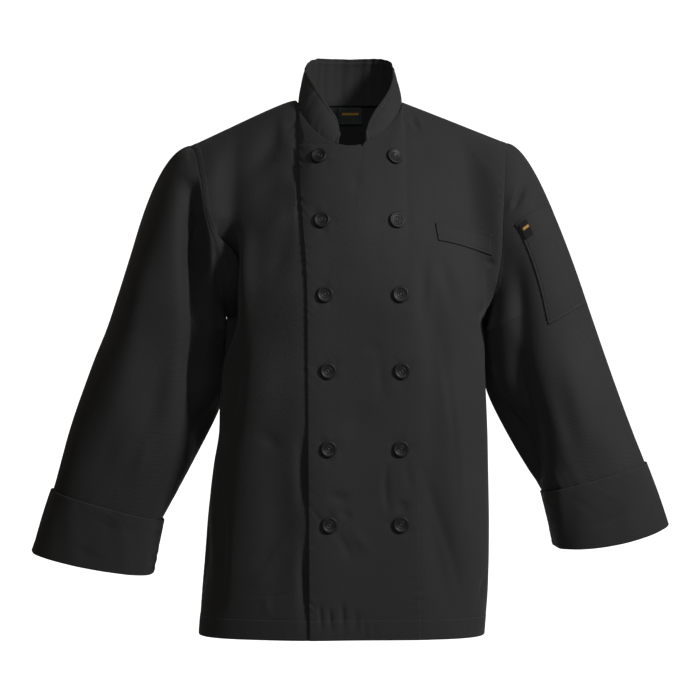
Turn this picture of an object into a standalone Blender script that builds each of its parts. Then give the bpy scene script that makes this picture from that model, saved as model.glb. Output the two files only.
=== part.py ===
"""Double-breasted chef jacket in twill, hollow, in the shape it has when worn.

Metres, +Z up. The front faces -Y and the wearer's left is +X. The origin is the middle of the
neck's base, level with the side neck points. Every panel is a wall of cloth: its outer face is a
smooth surface of two parameters, worked out from section tables, and its inner face lies one wall
thickness behind it. Neighbouring panels share the same seam curves and stop just short of them.
"""
import bpy
import numpy as np

# ---- cloth ------------------------------------------------------------------------------------
WALL = 0.0012            # one layer of twill
FIRM_WALL = 0.0024       # collar and cuffs: two layers and interfacing
SEAM_GAP = 0.0004        # clear space between two pieces along a seam
ARMHOLE_GAP = 0.0007     # the same at the armholes, where two curved walls meet at an angle
PATCH_GAP = 0.0016       # clear space under a piece that lies on a panel
BUTTON_GAP = 0.0005      # clear space under a button
POCKET_GAP = 0.0018      # clear space under the sleeve pocket, where the sleeve is most curved
PATCH_WALL = 0.0014      # welt and pocket
LABEL_WALL = 0.0010      # woven labels
LABEL_GAP = 0.0013       # clear space between the neck label and the hollow side of the back
TAPE_GAP = 0.0008        # clear space under the label on the sleeve pocket
LAP_RAISE = 0.0028       # the upper lap's outer face over the plain torso
LAP_RAMP = 0.024         # width over which the upper front comes back down past the lower lap
LAP_SINK = 0.0020        # the lower lap's outer face below the plain torso, where it is covered
LAP_SINK_START = 0.020   # width over which it goes down beside the upper lap's edge
LAP_FADE = (-0.038, -0.061)   # heights over which both die out towards the neckline

# ---- torso ------------------------------------------------------------------------------------
HEM_Z = -0.733
HEM_SIDE_DROP = 0.003    # the hem hangs lower towards the side seams
UNDERARM_Z = -0.300
# Level sections: height, reach to the wearer's right and left, front and back depth, boxiness
TORSO = (
    (-0.733, -0.2100, 0.1870, 0.1300, 0.1200, 3.3),
    (-0.680, -0.2070, 0.1915, 0.1285, 0.1170, 3.2),
    (-0.600, -0.1995, 0.1935, 0.1265, 0.1110, 3.1),
    (-0.500, -0.1893, 0.1922, 0.1250, 0.1040, 3.1),
    (-0.460, -0.1825, 0.1915, 0.1247, 0.1033, 3.1),
    (-0.420, -0.1812, 0.1900, 0.1245, 0.1030, 3.1),
    (-0.360, -0.1745, 0.1872, 0.1250, 0.1080, 3.1),
    (-0.300, -0.1720, 0.1840, 0.1260, 0.1150, 3.0),
)
# Neck opening: an oval on plan that drops towards the front
NECK_HALF = 0.0735
NECK_Y = 0.005
NECK_FRONT = 0.083
NECK_BACK = 0.067
NECK_SIDE_Z = 0.004
NECK_DROP = 0.067
NECK_NAPE = 0.004
NECK_CURVE = 1.4
NECK_SHARE = 0.34        # share of a panel's half width whose columns end on the neckline
# Shoulder seams end at x, z, and bow upward between the side neck point and there
SHOULDER = {"right": (-0.2226, -0.0566, 0.0066), "left": (0.2188, -0.0528, 0.0004)}
SHOULDER_BOW_EARLY = 0.4 # the bow peaks near the neck
SHOULDER_ROLL = 0.12     # how strongly the panels round over the shoulder
NECK_ROLL = 0.20
FRONT_NECK_RISE = (0.0, 0.50, 0.85)
BACK_NECK_RISE = (0.0, -0.35, 0.94)
SHOULDER_RISE = (0.0, 1.0, 0.0)
ARMHOLE_REACH = 0.70     # share of the half width from which a panel bends towards its armhole
# Armhole seams from the underarm to the shoulder point: share, x, y, z
ARMHOLES = {
    ("right", "front"): (
        (0.0, -0.1720, 0.000, -0.300),
        (0.2, -0.1755, -0.036, -0.262),
        (0.4, -0.1800, -0.056, -0.210),
        (0.6, -0.1970, -0.066, -0.160),
        (0.8, -0.2060, -0.050, -0.104),
        (0.9, -0.2140, -0.024, -0.073),
        (1.0, -0.2226, 0.005, -0.0566),
    ),
    ("left", "front"): (
        (0.0, 0.1840, 0.000, -0.300),
        (0.2, 0.1985, -0.038, -0.268),
        (0.4, 0.2085, -0.060, -0.220),
        (0.6, 0.2108, -0.067, -0.165),
        (0.8, 0.2140, -0.052, -0.105),
        (0.9, 0.2166, -0.026, -0.070),
        (1.0, 0.2188, 0.005, -0.0528),
    ),
    ("right", "back"): (
        (0.0, -0.1720, 0.000, -0.300),
        (0.2, -0.1830, 0.042, -0.264),
        (0.4, -0.1950, 0.068, -0.212),
        (0.6, -0.2000, 0.078, -0.158),
        (0.8, -0.2080, 0.064, -0.102),
        (0.9, -0.2150, 0.036, -0.072),
        (1.0, -0.2226, 0.005, -0.0566),
    ),
    ("left", "back"): (
        (0.0, 0.1840, 0.000, -0.300),
        (0.2, 0.1950, 0.042, -0.264),
        (0.4, 0.2025, 0.068, -0.212),
        (0.6, 0.2040, 0.078, -0.158),
        (0.8, 0.2098, 0.064, -0.102),
        (0.9, 0.2145, 0.036, -0.070),
        (1.0, 0.2188, 0.005, -0.0528),
    ),
}
# Front edges: height, x of the upper lap's edge, x of the lower lap's edge
LAPS = (
    (-0.735, -0.0538, 0.0940),
    (-0.540, -0.0550, 0.0915),
    (-0.350, -0.0565, 0.0895),
    (-0.235, -0.0580, 0.0870),
    (-0.135, -0.0641, 0.0840),
    (-0.060, -0.0677, 0.0815),
)
LAP_TOP = (-0.0620, -0.0655)   # the upper lap's top edge, at its corner and at the neck
LAP_TOP_END = (0.017, 0.031)   # x over which that edge runs into the neckline
UNDER_TOP_Z = -0.074           # the lower lap's top edge, hidden behind the upper one

# ---- sleeves ----------------------------------------------------------------------------------
# Sections below the armhole: place along the sleeve, x and z of the side towards the body, x and z
# of the outer side, y of the middle, depth to the front and back, and how far those two hang below
SLEEVES = {
    "right": (
        (1.0, -0.1735, -0.3180, -0.3245, -0.2586, 0.030, 0.100, 0.052, 0.0),
        (1.3, -0.1760, -0.3650, -0.3430, -0.3130, 0.044, 0.110, 0.042, 0.0),
        (1.6, -0.1850, -0.4260, -0.3665, -0.3720, 0.044, 0.108, 0.040, 0.0),
        (1.8, -0.2195, -0.4970, -0.3920, -0.4500, 0.022, 0.084, 0.046, 0.0),
        (2.0, -0.2640, -0.5805, -0.4150, -0.5385, 0.010, 0.068, 0.046, 0.001),
    ),
    "left": (
        (1.0, 0.1860, -0.3180, 0.3265, -0.2590, 0.022, 0.090, 0.060, 0.0),
        (1.3, 0.1884, -0.3600, 0.3425, -0.3030, 0.034, 0.098, 0.050, 0.0),
        (1.6, 0.1980, -0.4130, 0.3610, -0.3560, 0.034, 0.096, 0.046, 0.0),
        (1.8, 0.2325, -0.4800, 0.3865, -0.4300, 0.022, 0.082, 0.046, 0.0),
        (2.0, 0.2705, -0.5410, 0.4130, -0.5015, 0.010, 0.067, 0.046, 0.001),
    ),
}
# The same columns at each cuff's free edge; the cuff runs straight from the sleeve's last section
CUFF_ENDS = {
    "right": (-0.2790, -0.6550, -0.4433, -0.6235, 0.002, 0.066, 0.054, 0.004),
    "left": (0.2895, -0.6165, 0.4434, -0.5860, 0.002, 0.065, 0.054, 0.010),
}
SLEEVE_BOX = 2.7         # boxiness of these sections
# How the sleeve leaves the armhole, in lengths of the cap: angle from the underarm, pull outward,
# forward and upward at the armhole, pull along the sleeve at the underarm section
SLEEVE_START = {
    "right": (
        (0.0, 0.31, 0.00, -0.79, 0.45),
        (45.0, 0.53, -0.26, -0.61, 0.45),
        (90.0, 0.65, -0.26, -0.48, 0.45),
        (135.0, 0.74, -0.19, -0.26, 0.48),
        (180.0, 0.70, 0.00, -0.06, 0.50),
    ),
    "left": (
        (0.0, 0.31, 0.00, -0.79, 0.45),
        (45.0, 0.53, -0.26, -0.61, 0.45),
        (90.0, 0.65, -0.26, -0.48, 0.55),
        (135.0, 0.62, -0.19, -0.26, 0.90),
        (180.0, 0.45, 0.00, -0.04, 1.25),
    ),
}
CUFF_OUTSET = 0.0033     # the turned cuff's outer face over the sleeve's
CUFF_TUCK = 0.13         # how far the sleeve runs on inside the cuff, in cuff lengths

# ---- collar -----------------------------------------------------------------------------------
# Stand collar: degrees round the neck from the front, rise, and top's size against the base's
COLLARS = {
    "right": (
        (12.9, 0.0143, 0.780),
        (20.0, 0.0314, 0.690),
        (30.0, 0.0388, 0.700),
        (45.0, 0.0437, 0.730),
        (60.0, 0.0450, 0.770),
        (75.0, 0.0430, 0.805),
        (90.0, 0.0440, 0.850),
        (105.0, 0.0545, 0.855),
        (120.0, 0.0605, 0.865),
        (135.0, 0.0630, 0.865),
        (150.0, 0.0632, 0.855),
        (180.0, 0.0626, 0.840),
    ),
    "left": (
        (18.0, 0.0150, 0.960),
        (25.0, 0.0240, 0.830),
        (35.0, 0.0310, 0.775),
        (50.0, 0.0330, 0.780),
        (65.0, 0.0345, 0.820),
        (78.0, 0.0385, 0.840),
        (90.0, 0.0410, 0.838),
        (105.0, 0.0520, 0.850),
        (120.0, 0.0595, 0.862),
        (135.0, 0.0626, 0.865),
        (150.0, 0.0632, 0.855),
        (180.0, 0.0626, 0.840),
    ),
}
COLLAR_SWELL = 0.0020    # how far the collar bulges at half its height
COLLAR_INSET = 0.985     # the collar's base against the neckline, so it stands inside its edge
COLLAR_GAP = 0.0013      # clear height over the neckline

# ---- pieces on the panels ---------------------------------------------------------------------
# Turned buttons: radius and height of their outline, from the underside to the dished middle
BUTTON_OUTLINE = (
    (0.0095, 0.0000),
    (0.0110, 0.0012),
    (0.0106, 0.0024),
    (0.0085, 0.0030),
    (0.0062, 0.0018),
)
# Buttons: height, x of the wearer's right column, x of the wearer's left column
BUTTON_ROWS = (
    (-0.0780, -0.0422, 0.0607),
    (-0.1670, -0.0379, 0.0635),
    (-0.2680, -0.0337, 0.0680),
    (-0.3710, -0.0296, 0.0699),
    (-0.4760, -0.0290, 0.0686),
    (-0.5780, -0.0276, 0.0686),
)
# Chest welt corners as seen from the front: x, z
WELT = {"top": ((0.1167, -0.1706), (0.1560, -0.1735), (0.1975, -0.1850)),
        "low": ((0.1205, -0.1935), (0.1575, -0.2010), (0.1955, -0.2125))}
# Pen pocket on the wearer's left sleeve, each corner's angle round the sleeve and place along it
POCKET = {"top": ((113.0, 0.175), (154.5, 0.465)), "low": ((99.0, 1.165), (145.5, 1.100))}
POCKET_BOW = (4.5, 7.0)   # degrees by which its two long edges bow towards the sleeve's front
POCKET_LABEL = (0.05, 0.29, 0.02, 0.145)   # its place in the pocket: across from, to, down from, to
NECK_LABEL = (0.034, 0.023, 0.004)        # width, height, drop below the back neckline

# ---- largest folds, as seen from the front ----------------------------------------------------
# Start x, z, end x, z, half width, depth (inward is negative), sideways bow, early or late peak
TORSO_FOLDS = (
    (-0.162, -0.150, -0.169, -0.345, 0.014, -0.018, 0.008, 0.9),
    (0.1830, -0.270, 0.1800, -0.350, 0.012, -0.007, 0.000, 1.0),
    (-0.087, -0.010, -0.150, -0.115, 0.016, -0.007, 0.006, 1.0),
    (-0.205, -0.500, -0.190, -0.735, 0.016, -0.008, 0.000, 1.3),
    (-0.090, -0.400, -0.105, -0.735, 0.024, -0.006, 0.004, 1.2),
    (-0.135, -0.260, -0.150, -0.650, 0.026, 0.005, 0.006, 1.0),
    (0.0900, -0.480, 0.1450, -0.735, 0.020, -0.005, 0.006, 1.1),
    (0.1250, -0.300, 0.1560, -0.700, 0.024, 0.006, 0.004, 1.0),
    (0.1000, -0.200, 0.1200, -0.420, 0.018, -0.005, 0.004, 1.0),
)
LOWER_LAP_FOLDS = (
    (-0.078, -0.058, -0.066, -0.128, 0.013, -0.009, 0.000, 0.7),
)
BACK_FOLDS = (
    (-0.060, -0.250, -0.095, -0.735, 0.026, -0.008, 0.008, 1.2),
    (0.0550, -0.230, 0.0900, -0.735, 0.028, -0.008, -0.008, 1.2),
    (0.0050, -0.350, -0.004, -0.735, 0.024, -0.005, 0.006, 1.1),
    (-0.110, -0.120, -0.165, -0.300, 0.020, -0.008, 0.006, 1.0),
    (0.1120, -0.115, 0.1650, -0.310, 0.020, -0.008, -0.006, 1.0),
)
SLEEVE_FOLDS = {
    "right": (
        (-0.2300, -0.105, -0.2080, -0.355, 0.0170, -0.021, 0.009, 0.9),
        (-0.2050, -0.300, -0.2050, -0.520, 0.0200, -0.016, 0.000, 0.9),
        (-0.2950, -0.300, -0.3400, -0.520, 0.0260, 0.006, 0.000, 1.0),
    ),
    "left": (
        (0.2200, -0.205, 0.2650, -0.540, 0.0220, -0.016, -0.008, 1.0),
        (0.2480, -0.106, 0.2200, -0.150, 0.0060, -0.004, 0.000, 1.0),
        (0.3000, -0.330, 0.3500, -0.530, 0.0260, 0.005, 0.000, 1.0),
    ),
}
SLEEVE_BACK_FOLDS = {
    "right": ((-0.2300, -0.180, -0.2450, -0.420, 0.0180, -0.014, 0.006, 1.0),),
    "left": ((0.2300, -0.180, 0.2450, -0.420, 0.0180, -0.014, -0.006, 1.0),),
}
# Folds die out over these shares towards the sewn edges
PANEL_FADE = {"side": 0.10, "top": 0.12}
SLEEVE_FADE = {"armhole": 0.10, "cuff": 0.16}
FRONT_FACING = (-0.05, 0.35)   # sines of the sleeve's angle over which folds come in on each face

# ---- mesh steps -------------------------------------------------------------------------------
FRONT_COLUMNS = 18
BACK_COLUMNS = 26
LOW_ROWS = 14
HIGH_ROWS = 13
HIGH_CROWD = 0.85        # rows crowd towards the neck and shoulders
FRONT_CROWD = 0.85       # columns crowd towards the armholes, where the deep folds are
SLEEVE_COLUMNS = 30
SLEEVE_CROWD = 16.0      # degrees by which the sleeve's columns crowd towards the body side
CAP_ROWS = 9
SLEEVE_ROWS = 10
CUFF_ROWS = 3
COLLAR_COLUMNS = 36
COLLAR_ROWS = 3
WELT_GRID = (9, 4)
POCKET_GRID = (7, 9)
POCKET_LABEL_GRID = (3, 3)
NECK_LABEL_GRID = (4, 4)
BUTTON_SIDES = 14
SHARP_EDGE = 50.0        # degrees between faces from which an edge is shaded sharp
STEP = 1e-4              # step of the numerical slopes
TURN_RATE = 50.0         # degrees round a sleeve that count as one length along it in those slopes

CLOTH = ("jacket_twill", (0.022, 0.022, 0.024), 0.85)
BUTTON_PLASTIC = ("button_plastic", (0.020, 0.020, 0.022), 0.28)
LABEL_CLOTH = ("label_weave", (0.045, 0.050, 0.055), 0.75)


def smoothstep(share):
    """Ease from 0 to 1 as share goes from 0 to 1."""
    share = np.clip(share, 0.0, 1.0)
    return share * share * (3.0 - 2.0 * share)


def spline(table, keys):
    """Read a table's columns at keys, on a smooth curve through its rows."""
    rows = np.array(table)
    knots, values = rows[:, 0], rows[:, 1:]
    slopes = np.gradient(values, knots, axis=0)
    at = np.clip(keys, knots[0], knots[-1])
    cell = np.clip(np.searchsorted(knots, at, side="right") - 1, 0, len(knots) - 2)
    width = (knots[cell + 1] - knots[cell])[..., None]
    share = (at - knots[cell])[..., None] / width
    return hermite(values[cell], width * slopes[cell], values[cell + 1], width * slopes[cell + 1], share)


def hermite(start, leave, end, arrive, share):
    """Cubic from start to end with the given slopes."""
    square = share * share
    cube = square * share
    return ((2 * cube - 3 * square + 1) * start + (cube - 2 * square + share) * leave
            + (3 * square - 2 * cube) * end + (cube - square) * arrive)


def unit(vectors):
    return vectors / np.maximum(np.linalg.norm(vectors, axis=-1, keepdims=True), 1e-12)


def stack(x, y, z):
    return np.stack(np.broadcast_arrays(x, y, z), axis=-1)


def fold_height(folds, x, z):
    """Sum of the soft troughs and ridges at a place seen from the front."""
    height = np.zeros(np.broadcast(x, z).shape)
    for x0, z0, x1, z1, half_width, depth, bow, skew in folds:
        run = np.array((x1 - x0, z1 - z0))
        length = np.hypot(*run)
        run = run / length
        along = ((x - x0) * run[0] + (z - z0) * run[1]) / length
        window = np.clip(along, 0.0, 1.0) ** skew
        aside = (x - x0) * -run[1] + (z - z0) * run[0] - bow * 4.0 * window * (1.0 - window)
        height += depth * np.sin(np.pi * window) ** 2 * np.exp(-(aside / half_width) ** 2)
    return height


def normals(surface, u, v, u_range, v_range, centre):
    """Outward normals of a surface of two parameters; centre gives the points to face away from."""
    u_low, u_high = np.maximum(u - STEP, u_range[0]), np.minimum(u + STEP, u_range[1])
    v_low, v_high = np.maximum(v - STEP, v_range[0]), np.minimum(v + STEP, v_range[1])
    across = surface(u_high, v) - surface(u_low, v)
    along = surface(u, v_high) - surface(u, v_low)
    normal = unit(np.cross(across, along))
    outward = np.sum(normal * (surface(u, v) - centre(u, v)))
    return normal * np.sign(outward)


# ---- torso surfaces ---------------------------------------------------------------------------
def torso_ring(a, z, face):
    """Level section: a runs from -1 at the wearer's right side seam to +1 at the left one."""
    right, left, front, back, power = np.moveaxis(spline(TORSO, z), -1, 0)
    middle, half = (right + left) / 2, (left - right) / 2
    depth = front if face == "front" else back
    angle = a * np.pi / 2
    reach = (np.abs(np.sin(angle) / half) ** power + np.abs(np.cos(angle) / depth) ** power) ** (-1 / power)
    toward = -1.0 if face == "front" else 1.0
    return stack(middle + reach * np.sin(angle), toward * reach * np.cos(angle), z)


def neckline(angle, face):
    """Point on the neck opening, angle in radians from the front or back middle."""
    cosine = np.maximum(np.cos(angle), 0.0)
    x = NECK_HALF * np.sin(angle)
    if face == "front":
        return stack(x, NECK_Y - NECK_FRONT * cosine, NECK_SIDE_Z - NECK_DROP * cosine ** NECK_CURVE)
    return stack(x, NECK_Y + NECK_BACK * cosine, NECK_SIDE_Z + NECK_NAPE * cosine)


def torso_top(a, face):
    """Where column a ends, on the neckline or the shoulder seam, and the slope it arrives with."""
    angle = np.clip(np.abs(a) / NECK_SHARE, 0.0, 1.0) * np.pi / 2
    neck = neckline(angle * np.sign(a), face)
    share = np.clip((np.abs(a) - NECK_SHARE) / (1 - NECK_SHARE), 0.0, 1.0)
    tip_x, tip_z, bow = (np.where(a < 0, *pair) for pair in zip(SHOULDER["right"], SHOULDER["left"]))
    side_x = np.sign(a) * NECK_HALF
    seam = stack(side_x + (tip_x - side_x) * share, NECK_Y,
                 NECK_SIDE_Z + (tip_z - NECK_SIDE_Z) * share
                 + bow * np.sin(np.pi * share ** SHOULDER_BOW_EARLY))
    on_neck = (np.abs(a) < NECK_SHARE)[..., None]
    toward = 1.0 if face == "front" else -1.0
    rise = np.array(FRONT_NECK_RISE if face == "front" else BACK_NECK_RISE) * NECK_ROLL
    roll = np.array(SHOULDER_RISE) * SHOULDER_ROLL * toward
    middle = np.cos(angle)[..., None]
    return np.where(on_neck, neck, seam), middle * rise + (1 - middle) * roll


def armhole(side, face, share):
    return spline(ARMHOLES[(side, face)], share)


def torso_upper(a, share, face):
    """From the underarm level (share 0) to the neckline and shoulders (share 1)."""
    start = torso_ring(a, np.full(np.shape(a), UNDERARM_Z), face)
    below = torso_ring(a, np.full(np.shape(a), UNDERARM_Z - STEP), face)
    end, arrive = torso_top(a, face)
    leave = (start - below) / STEP * (end - start)[..., 2:3]
    return hermite(start, leave, end, arrive, share[..., None])


def torso_plain(a, t, face):
    """Unfolded cloth: t runs from 0 at the hem through 1 at the underarm to 2 at the top."""
    a, t = np.broadcast_arrays(np.asarray(a, float), np.asarray(t, float))
    hem_z = HEM_Z - HEM_SIDE_DROP * np.abs(a) ** 3
    low = torso_ring(a, hem_z + (UNDERARM_Z - hem_z) * np.clip(t, 0.0, 1.0), face)
    share = np.clip(t - 1.0, 0.0, 1.0)
    high = torso_upper(a, share, face)
    for side, sign in (("right", -1.0), ("left", 1.0)):
        pull = smoothstep((sign * a - ARMHOLE_REACH) / (1 - ARMHOLE_REACH))[..., None]
        edge = torso_upper(np.full(a.shape, sign), share, face)
        high = high + pull * (armhole(side, face, share) - edge)
    return np.where((t > 1.0)[..., None], high, low)


def torso_centre(a, t, face):
    point = torso_plain(a, t, face)
    return stack(0.0 * point[..., 0], NECK_Y, point[..., 2] - 0.05)


def torso_lift(a, t, face, lift):
    """Unfolded cloth moved out along its normal by lift."""
    normal = normals(lambda u, v: torso_plain(u, v, face), a, t, (-1.0, 1.0), (0.0, 2.0),
                     lambda u, v: torso_centre(u, v, face))
    return torso_plain(a, t, face) + normal * lift[..., None]


def edge_fade(a, t):
    """Folds die out at the side seams, armholes, neck and shoulders, where pieces are sewn."""
    return smoothstep((1.0 - np.abs(a)) / PANEL_FADE["side"]) * smoothstep((2.0 - t) / PANEL_FADE["top"])


def front_surface(a, t, upper):
    """Front cloth with its folds; the upper lap rides over the lower one."""
    a, t = np.broadcast_arrays(np.asarray(a, float), np.asarray(t, float))
    plain = torso_plain(a, t, "front")
    x, z = plain[..., 0], plain[..., 2]
    folds = TORSO_FOLDS if upper else TORSO_FOLDS + LOWER_LAP_FOLDS
    lift = fold_height(folds, x, z) * edge_fade(a, t)
    upper_edge, under_edge = np.moveaxis(spline(LAPS, z), -1, 0)
    below_neck = smoothstep((LAP_FADE[0] - z) / (LAP_FADE[0] - LAP_FADE[1]))
    if upper:
        lift = lift + LAP_RAISE * below_neck * (1.0 - smoothstep((x - under_edge) / LAP_RAMP))
    else:
        lift = lift - LAP_SINK * below_neck * smoothstep((x - upper_edge) / LAP_SINK_START + 1.0)
    return torso_lift(a, t, "front", lift)


def back_surface(a, t):
    a, t = np.broadcast_arrays(np.asarray(a, float), np.asarray(t, float))
    plain = torso_plain(a, t, "back")
    lift = fold_height(BACK_FOLDS, plain[..., 0], plain[..., 2]) * edge_fade(a, t)
    return torso_lift(a, t, "back", lift)


def solve(miss, low, high, rounds=40):
    """Bisect a growing function, on arrays."""
    for _ in range(rounds):
        middle = (low + high) / 2
        over = miss(middle) > 0
        low, high = np.where(over, low, middle), np.where(over, middle, high)
    return (low + high) / 2


def lap_column(t, which):
    """Value of a where a front's free edge runs; which is 0 for the upper lap, 1 for the lower."""
    def miss(a):
        point = torso_plain(a, t, "front")
        return point[..., 0] - spline(LAPS, point[..., 2])[..., which]
    return solve(miss, np.full(t.shape, -0.9), np.full(t.shape, 0.9))


def front_places(upper, across, up):
    """Parameters a, t of a front panel's grid; across is 0 at the free edge, 1 at the side."""
    side = 1.0 if upper else -1.0
    which = 0 if upper else 1

    def column(t):
        free = lap_column(t, which)
        return free + (side - free) * across

    def over_top(t):
        point = torso_plain(column(t), t, "front")
        x, z = point[..., 0], point[..., 2]
        if upper:
            slope = smoothstep((x - LAPS[-1][1]) / (LAP_TOP_END[0] - LAPS[-1][1]))
            top = LAP_TOP[0] + (LAP_TOP[1] - LAP_TOP[0]) * slope
            free = smoothstep((x - LAP_TOP_END[0]) / (LAP_TOP_END[1] - LAP_TOP_END[0]))
        else:
            top = UNDER_TOP_Z + 0.0 * x
            free = smoothstep((LAP_TOP_END[0] - x) / (LAP_TOP_END[1] - LAP_TOP_END[0]))
        return np.where(free >= 1.0, -1.0, z - (top + free * 0.2))

    top_t = solve(over_top, np.full(across.shape, 1.2), np.full(across.shape, 2.0))
    top_t = np.where(top_t > 1.9999, 2.0, top_t)
    t = np.where(up <= 1.0, up, 1.0 + (up - 1.0) * (top_t - 1.0))
    return column(t), t


# ---- sleeve surfaces --------------------------------------------------------------------------
def sleeve_ring(side, angle, place):
    """Section of the sleeve or cuff; angle in degrees from the body side through the front."""
    section = spline(SLEEVES[side], np.minimum(place, 2.0))
    down_cuff = np.clip(place - 2.0, 0.0, 1.0)[..., None]
    section = section + (np.array(CUFF_ENDS[side]) - SLEEVES[side][-1][1:]) * down_cuff
    inner_x, inner_z, outer_x, outer_z, middle_y, front, back, dip = np.moveaxis(section, -1, 0)
    turn = np.radians(angle)
    cosine, sine = np.cos(turn), np.sin(turn)
    depth = np.where(sine > 0, front, back)
    reach = (np.abs(cosine) ** SLEEVE_BOX + np.abs(sine) ** SLEEVE_BOX) ** (-1 / SLEEVE_BOX)
    across = (1.0 - reach * cosine) / 2
    return stack(inner_x + (outer_x - inner_x) * across, middle_y - depth * reach * sine,
                 inner_z + (outer_z - inner_z) * across - dip * sine * sine)


def sleeve_plain(side, angle, place):
    """place 0 is the armhole seam, 1 the underarm section, 2 the cuff's top, 3 its bottom."""
    angle, place = np.broadcast_arrays(np.asarray(angle, float), np.asarray(place, float))
    angle = angle % 360.0
    on_front = (angle <= 180.0)[..., None]
    rise = np.where(angle <= 180.0, angle, 360.0 - angle)
    start = np.where(on_front, armhole(side, "front", rise / 180.0), armhole(side, "back", rise / 180.0))
    sign = -1.0 if side == "right" else 1.0
    start = start + np.array((sign * ARMHOLE_GAP, 0.0, 0.0))
    first = np.full(angle.shape, 1.0)
    end = sleeve_ring(side, angle, first)
    onward = unit(sleeve_ring(side, angle, first + 0.1) - end)
    pulls = spline(SLEEVE_START[side], rise)
    outward = pulls[..., :3] * np.where(on_front, (sign, 1.0, 1.0), (sign, -1.0, 1.0))
    length = np.linalg.norm(end - start, axis=-1, keepdims=True)
    cap = hermite(start, outward * length, end, onward * length * pulls[..., 3:],
                  np.clip(place, 0.0, 1.0)[..., None])
    return np.where((place < 1.0)[..., None], cap, sleeve_ring(side, angle, np.maximum(place, 1.0)))


def sleeve_centre(side, angle, place):
    """Middle of the sleeve at each place, which its normals face away from."""
    turns = np.arange(0.0, 360.0, 30.0)
    return sum(sleeve_plain(side, turn + 0.0 * angle, place) for turn in turns) / len(turns)


def sleeve_normal(surface, side, angle, place, last):
    """Outward normals of a sleeve or cuff surface that runs on to the place called last."""
    return normals(lambda u, v: surface(u * TURN_RATE, v), angle / TURN_RATE, place,
                   (-np.inf, np.inf), (0.0, last), lambda u, v: sleeve_centre(side, u * TURN_RATE, v))


def sleeve_surface(side, angle, place, last=3.0):
    """Sleeve cloth with its folds, which die out at the armhole and the cuff."""
    angle, place = np.broadcast_arrays(np.asarray(angle, float), np.asarray(place, float))
    plain = sleeve_plain(side, angle, place)
    x, z = plain[..., 0], plain[..., 2]
    start, width = FRONT_FACING
    faces_front = smoothstep((np.sin(np.radians(angle)) - start) / width)
    faces_back = smoothstep((-np.sin(np.radians(angle)) - start) / width)
    fade = smoothstep(place / SLEEVE_FADE["armhole"]) * smoothstep((2.0 - place) / SLEEVE_FADE["cuff"])
    lift = fade * (faces_front * fold_height(SLEEVE_FOLDS[side], x, z)
                   + faces_back * fold_height(SLEEVE_BACK_FOLDS[side], x, z))
    normal = sleeve_normal(lambda u, v: sleeve_plain(side, u, v), side, angle, place, last)
    return plain + normal * lift[..., None]


# ---- collar surface ---------------------------------------------------------------------------
def collar_surface(round_share, up):
    """Collar: round_share 0 at the wearer's right end, 1 at the left end; up 0 at the seam."""
    round_share, up = np.broadcast_arrays(np.asarray(round_share, float), np.asarray(up, float))
    right_end, left_end = COLLARS["right"][0][0], COLLARS["left"][0][0]
    turned = right_end + round_share * (360.0 - right_end - left_end)
    on_right = turned <= 180.0
    angle = np.where(on_right, turned, 360.0 - turned)
    rise, pull = np.moveaxis(np.where(on_right[..., None], spline(COLLARS["right"], angle),
                                      spline(COLLARS["left"], angle)), -1, 0)
    sign = np.where(on_right, -1.0, 1.0)
    in_front = (angle <= 90.0)[..., None]
    front = neckline(np.radians(np.minimum(angle, 90.0)) * sign, "front")
    back = neckline(np.radians(np.minimum(180.0 - angle, 90.0)) * sign, "back")
    edge = np.where(in_front, front, back)
    base = edge * np.array((COLLAR_INSET, COLLAR_INSET, 1.0)) + np.array((0.0, 0.0, COLLAR_GAP))
    top = edge * stack(pull, pull, 1.0) + stack(0.0, 0.0, rise)
    point = base + (top - base) * up[..., None]
    swell = COLLAR_SWELL * 4.0 * up * (1.0 - up)
    away = unit(base * np.array((1.0, 1.0, 0.0)))
    return point + away * swell[..., None]


# ---- solids -----------------------------------------------------------------------------------
def material(name, colour, roughness):
    made = bpy.data.materials.get(name)
    if made is None:
        made = bpy.data.materials.new(name)
        made.use_nodes = True
        shader = made.node_tree.nodes["Principled BSDF"]
        shader.inputs["Base Color"].default_value = (*colour, 1.0)
        shader.inputs["Roughness"].default_value = roughness
        shader.inputs["Metallic"].default_value = 0.0
    return made


def add_solid(name, points, faces, finish):
    """One closed object from points and faces, with its faces turned outward."""
    corners = np.array([points[list(face)] for face in faces])
    volume = np.einsum("ij,ij->i", corners[:, 0], np.cross(corners[:, 1], corners[:, 2])).sum()
    if volume < 0:
        faces = [tuple(reversed(face)) for face in faces]
    mesh = bpy.data.meshes.new(name)
    mesh.from_pydata([tuple(point) for point in points], [], faces)
    mesh.materials.append(material(*finish))
    mesh.update()
    mesh.shade_smooth()
    mesh.set_sharp_from_angle(angle=np.radians(SHARP_EDGE))
    made = bpy.data.objects.new(name, mesh)
    bpy.context.scene.collection.objects.link(made)
    return made


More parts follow.
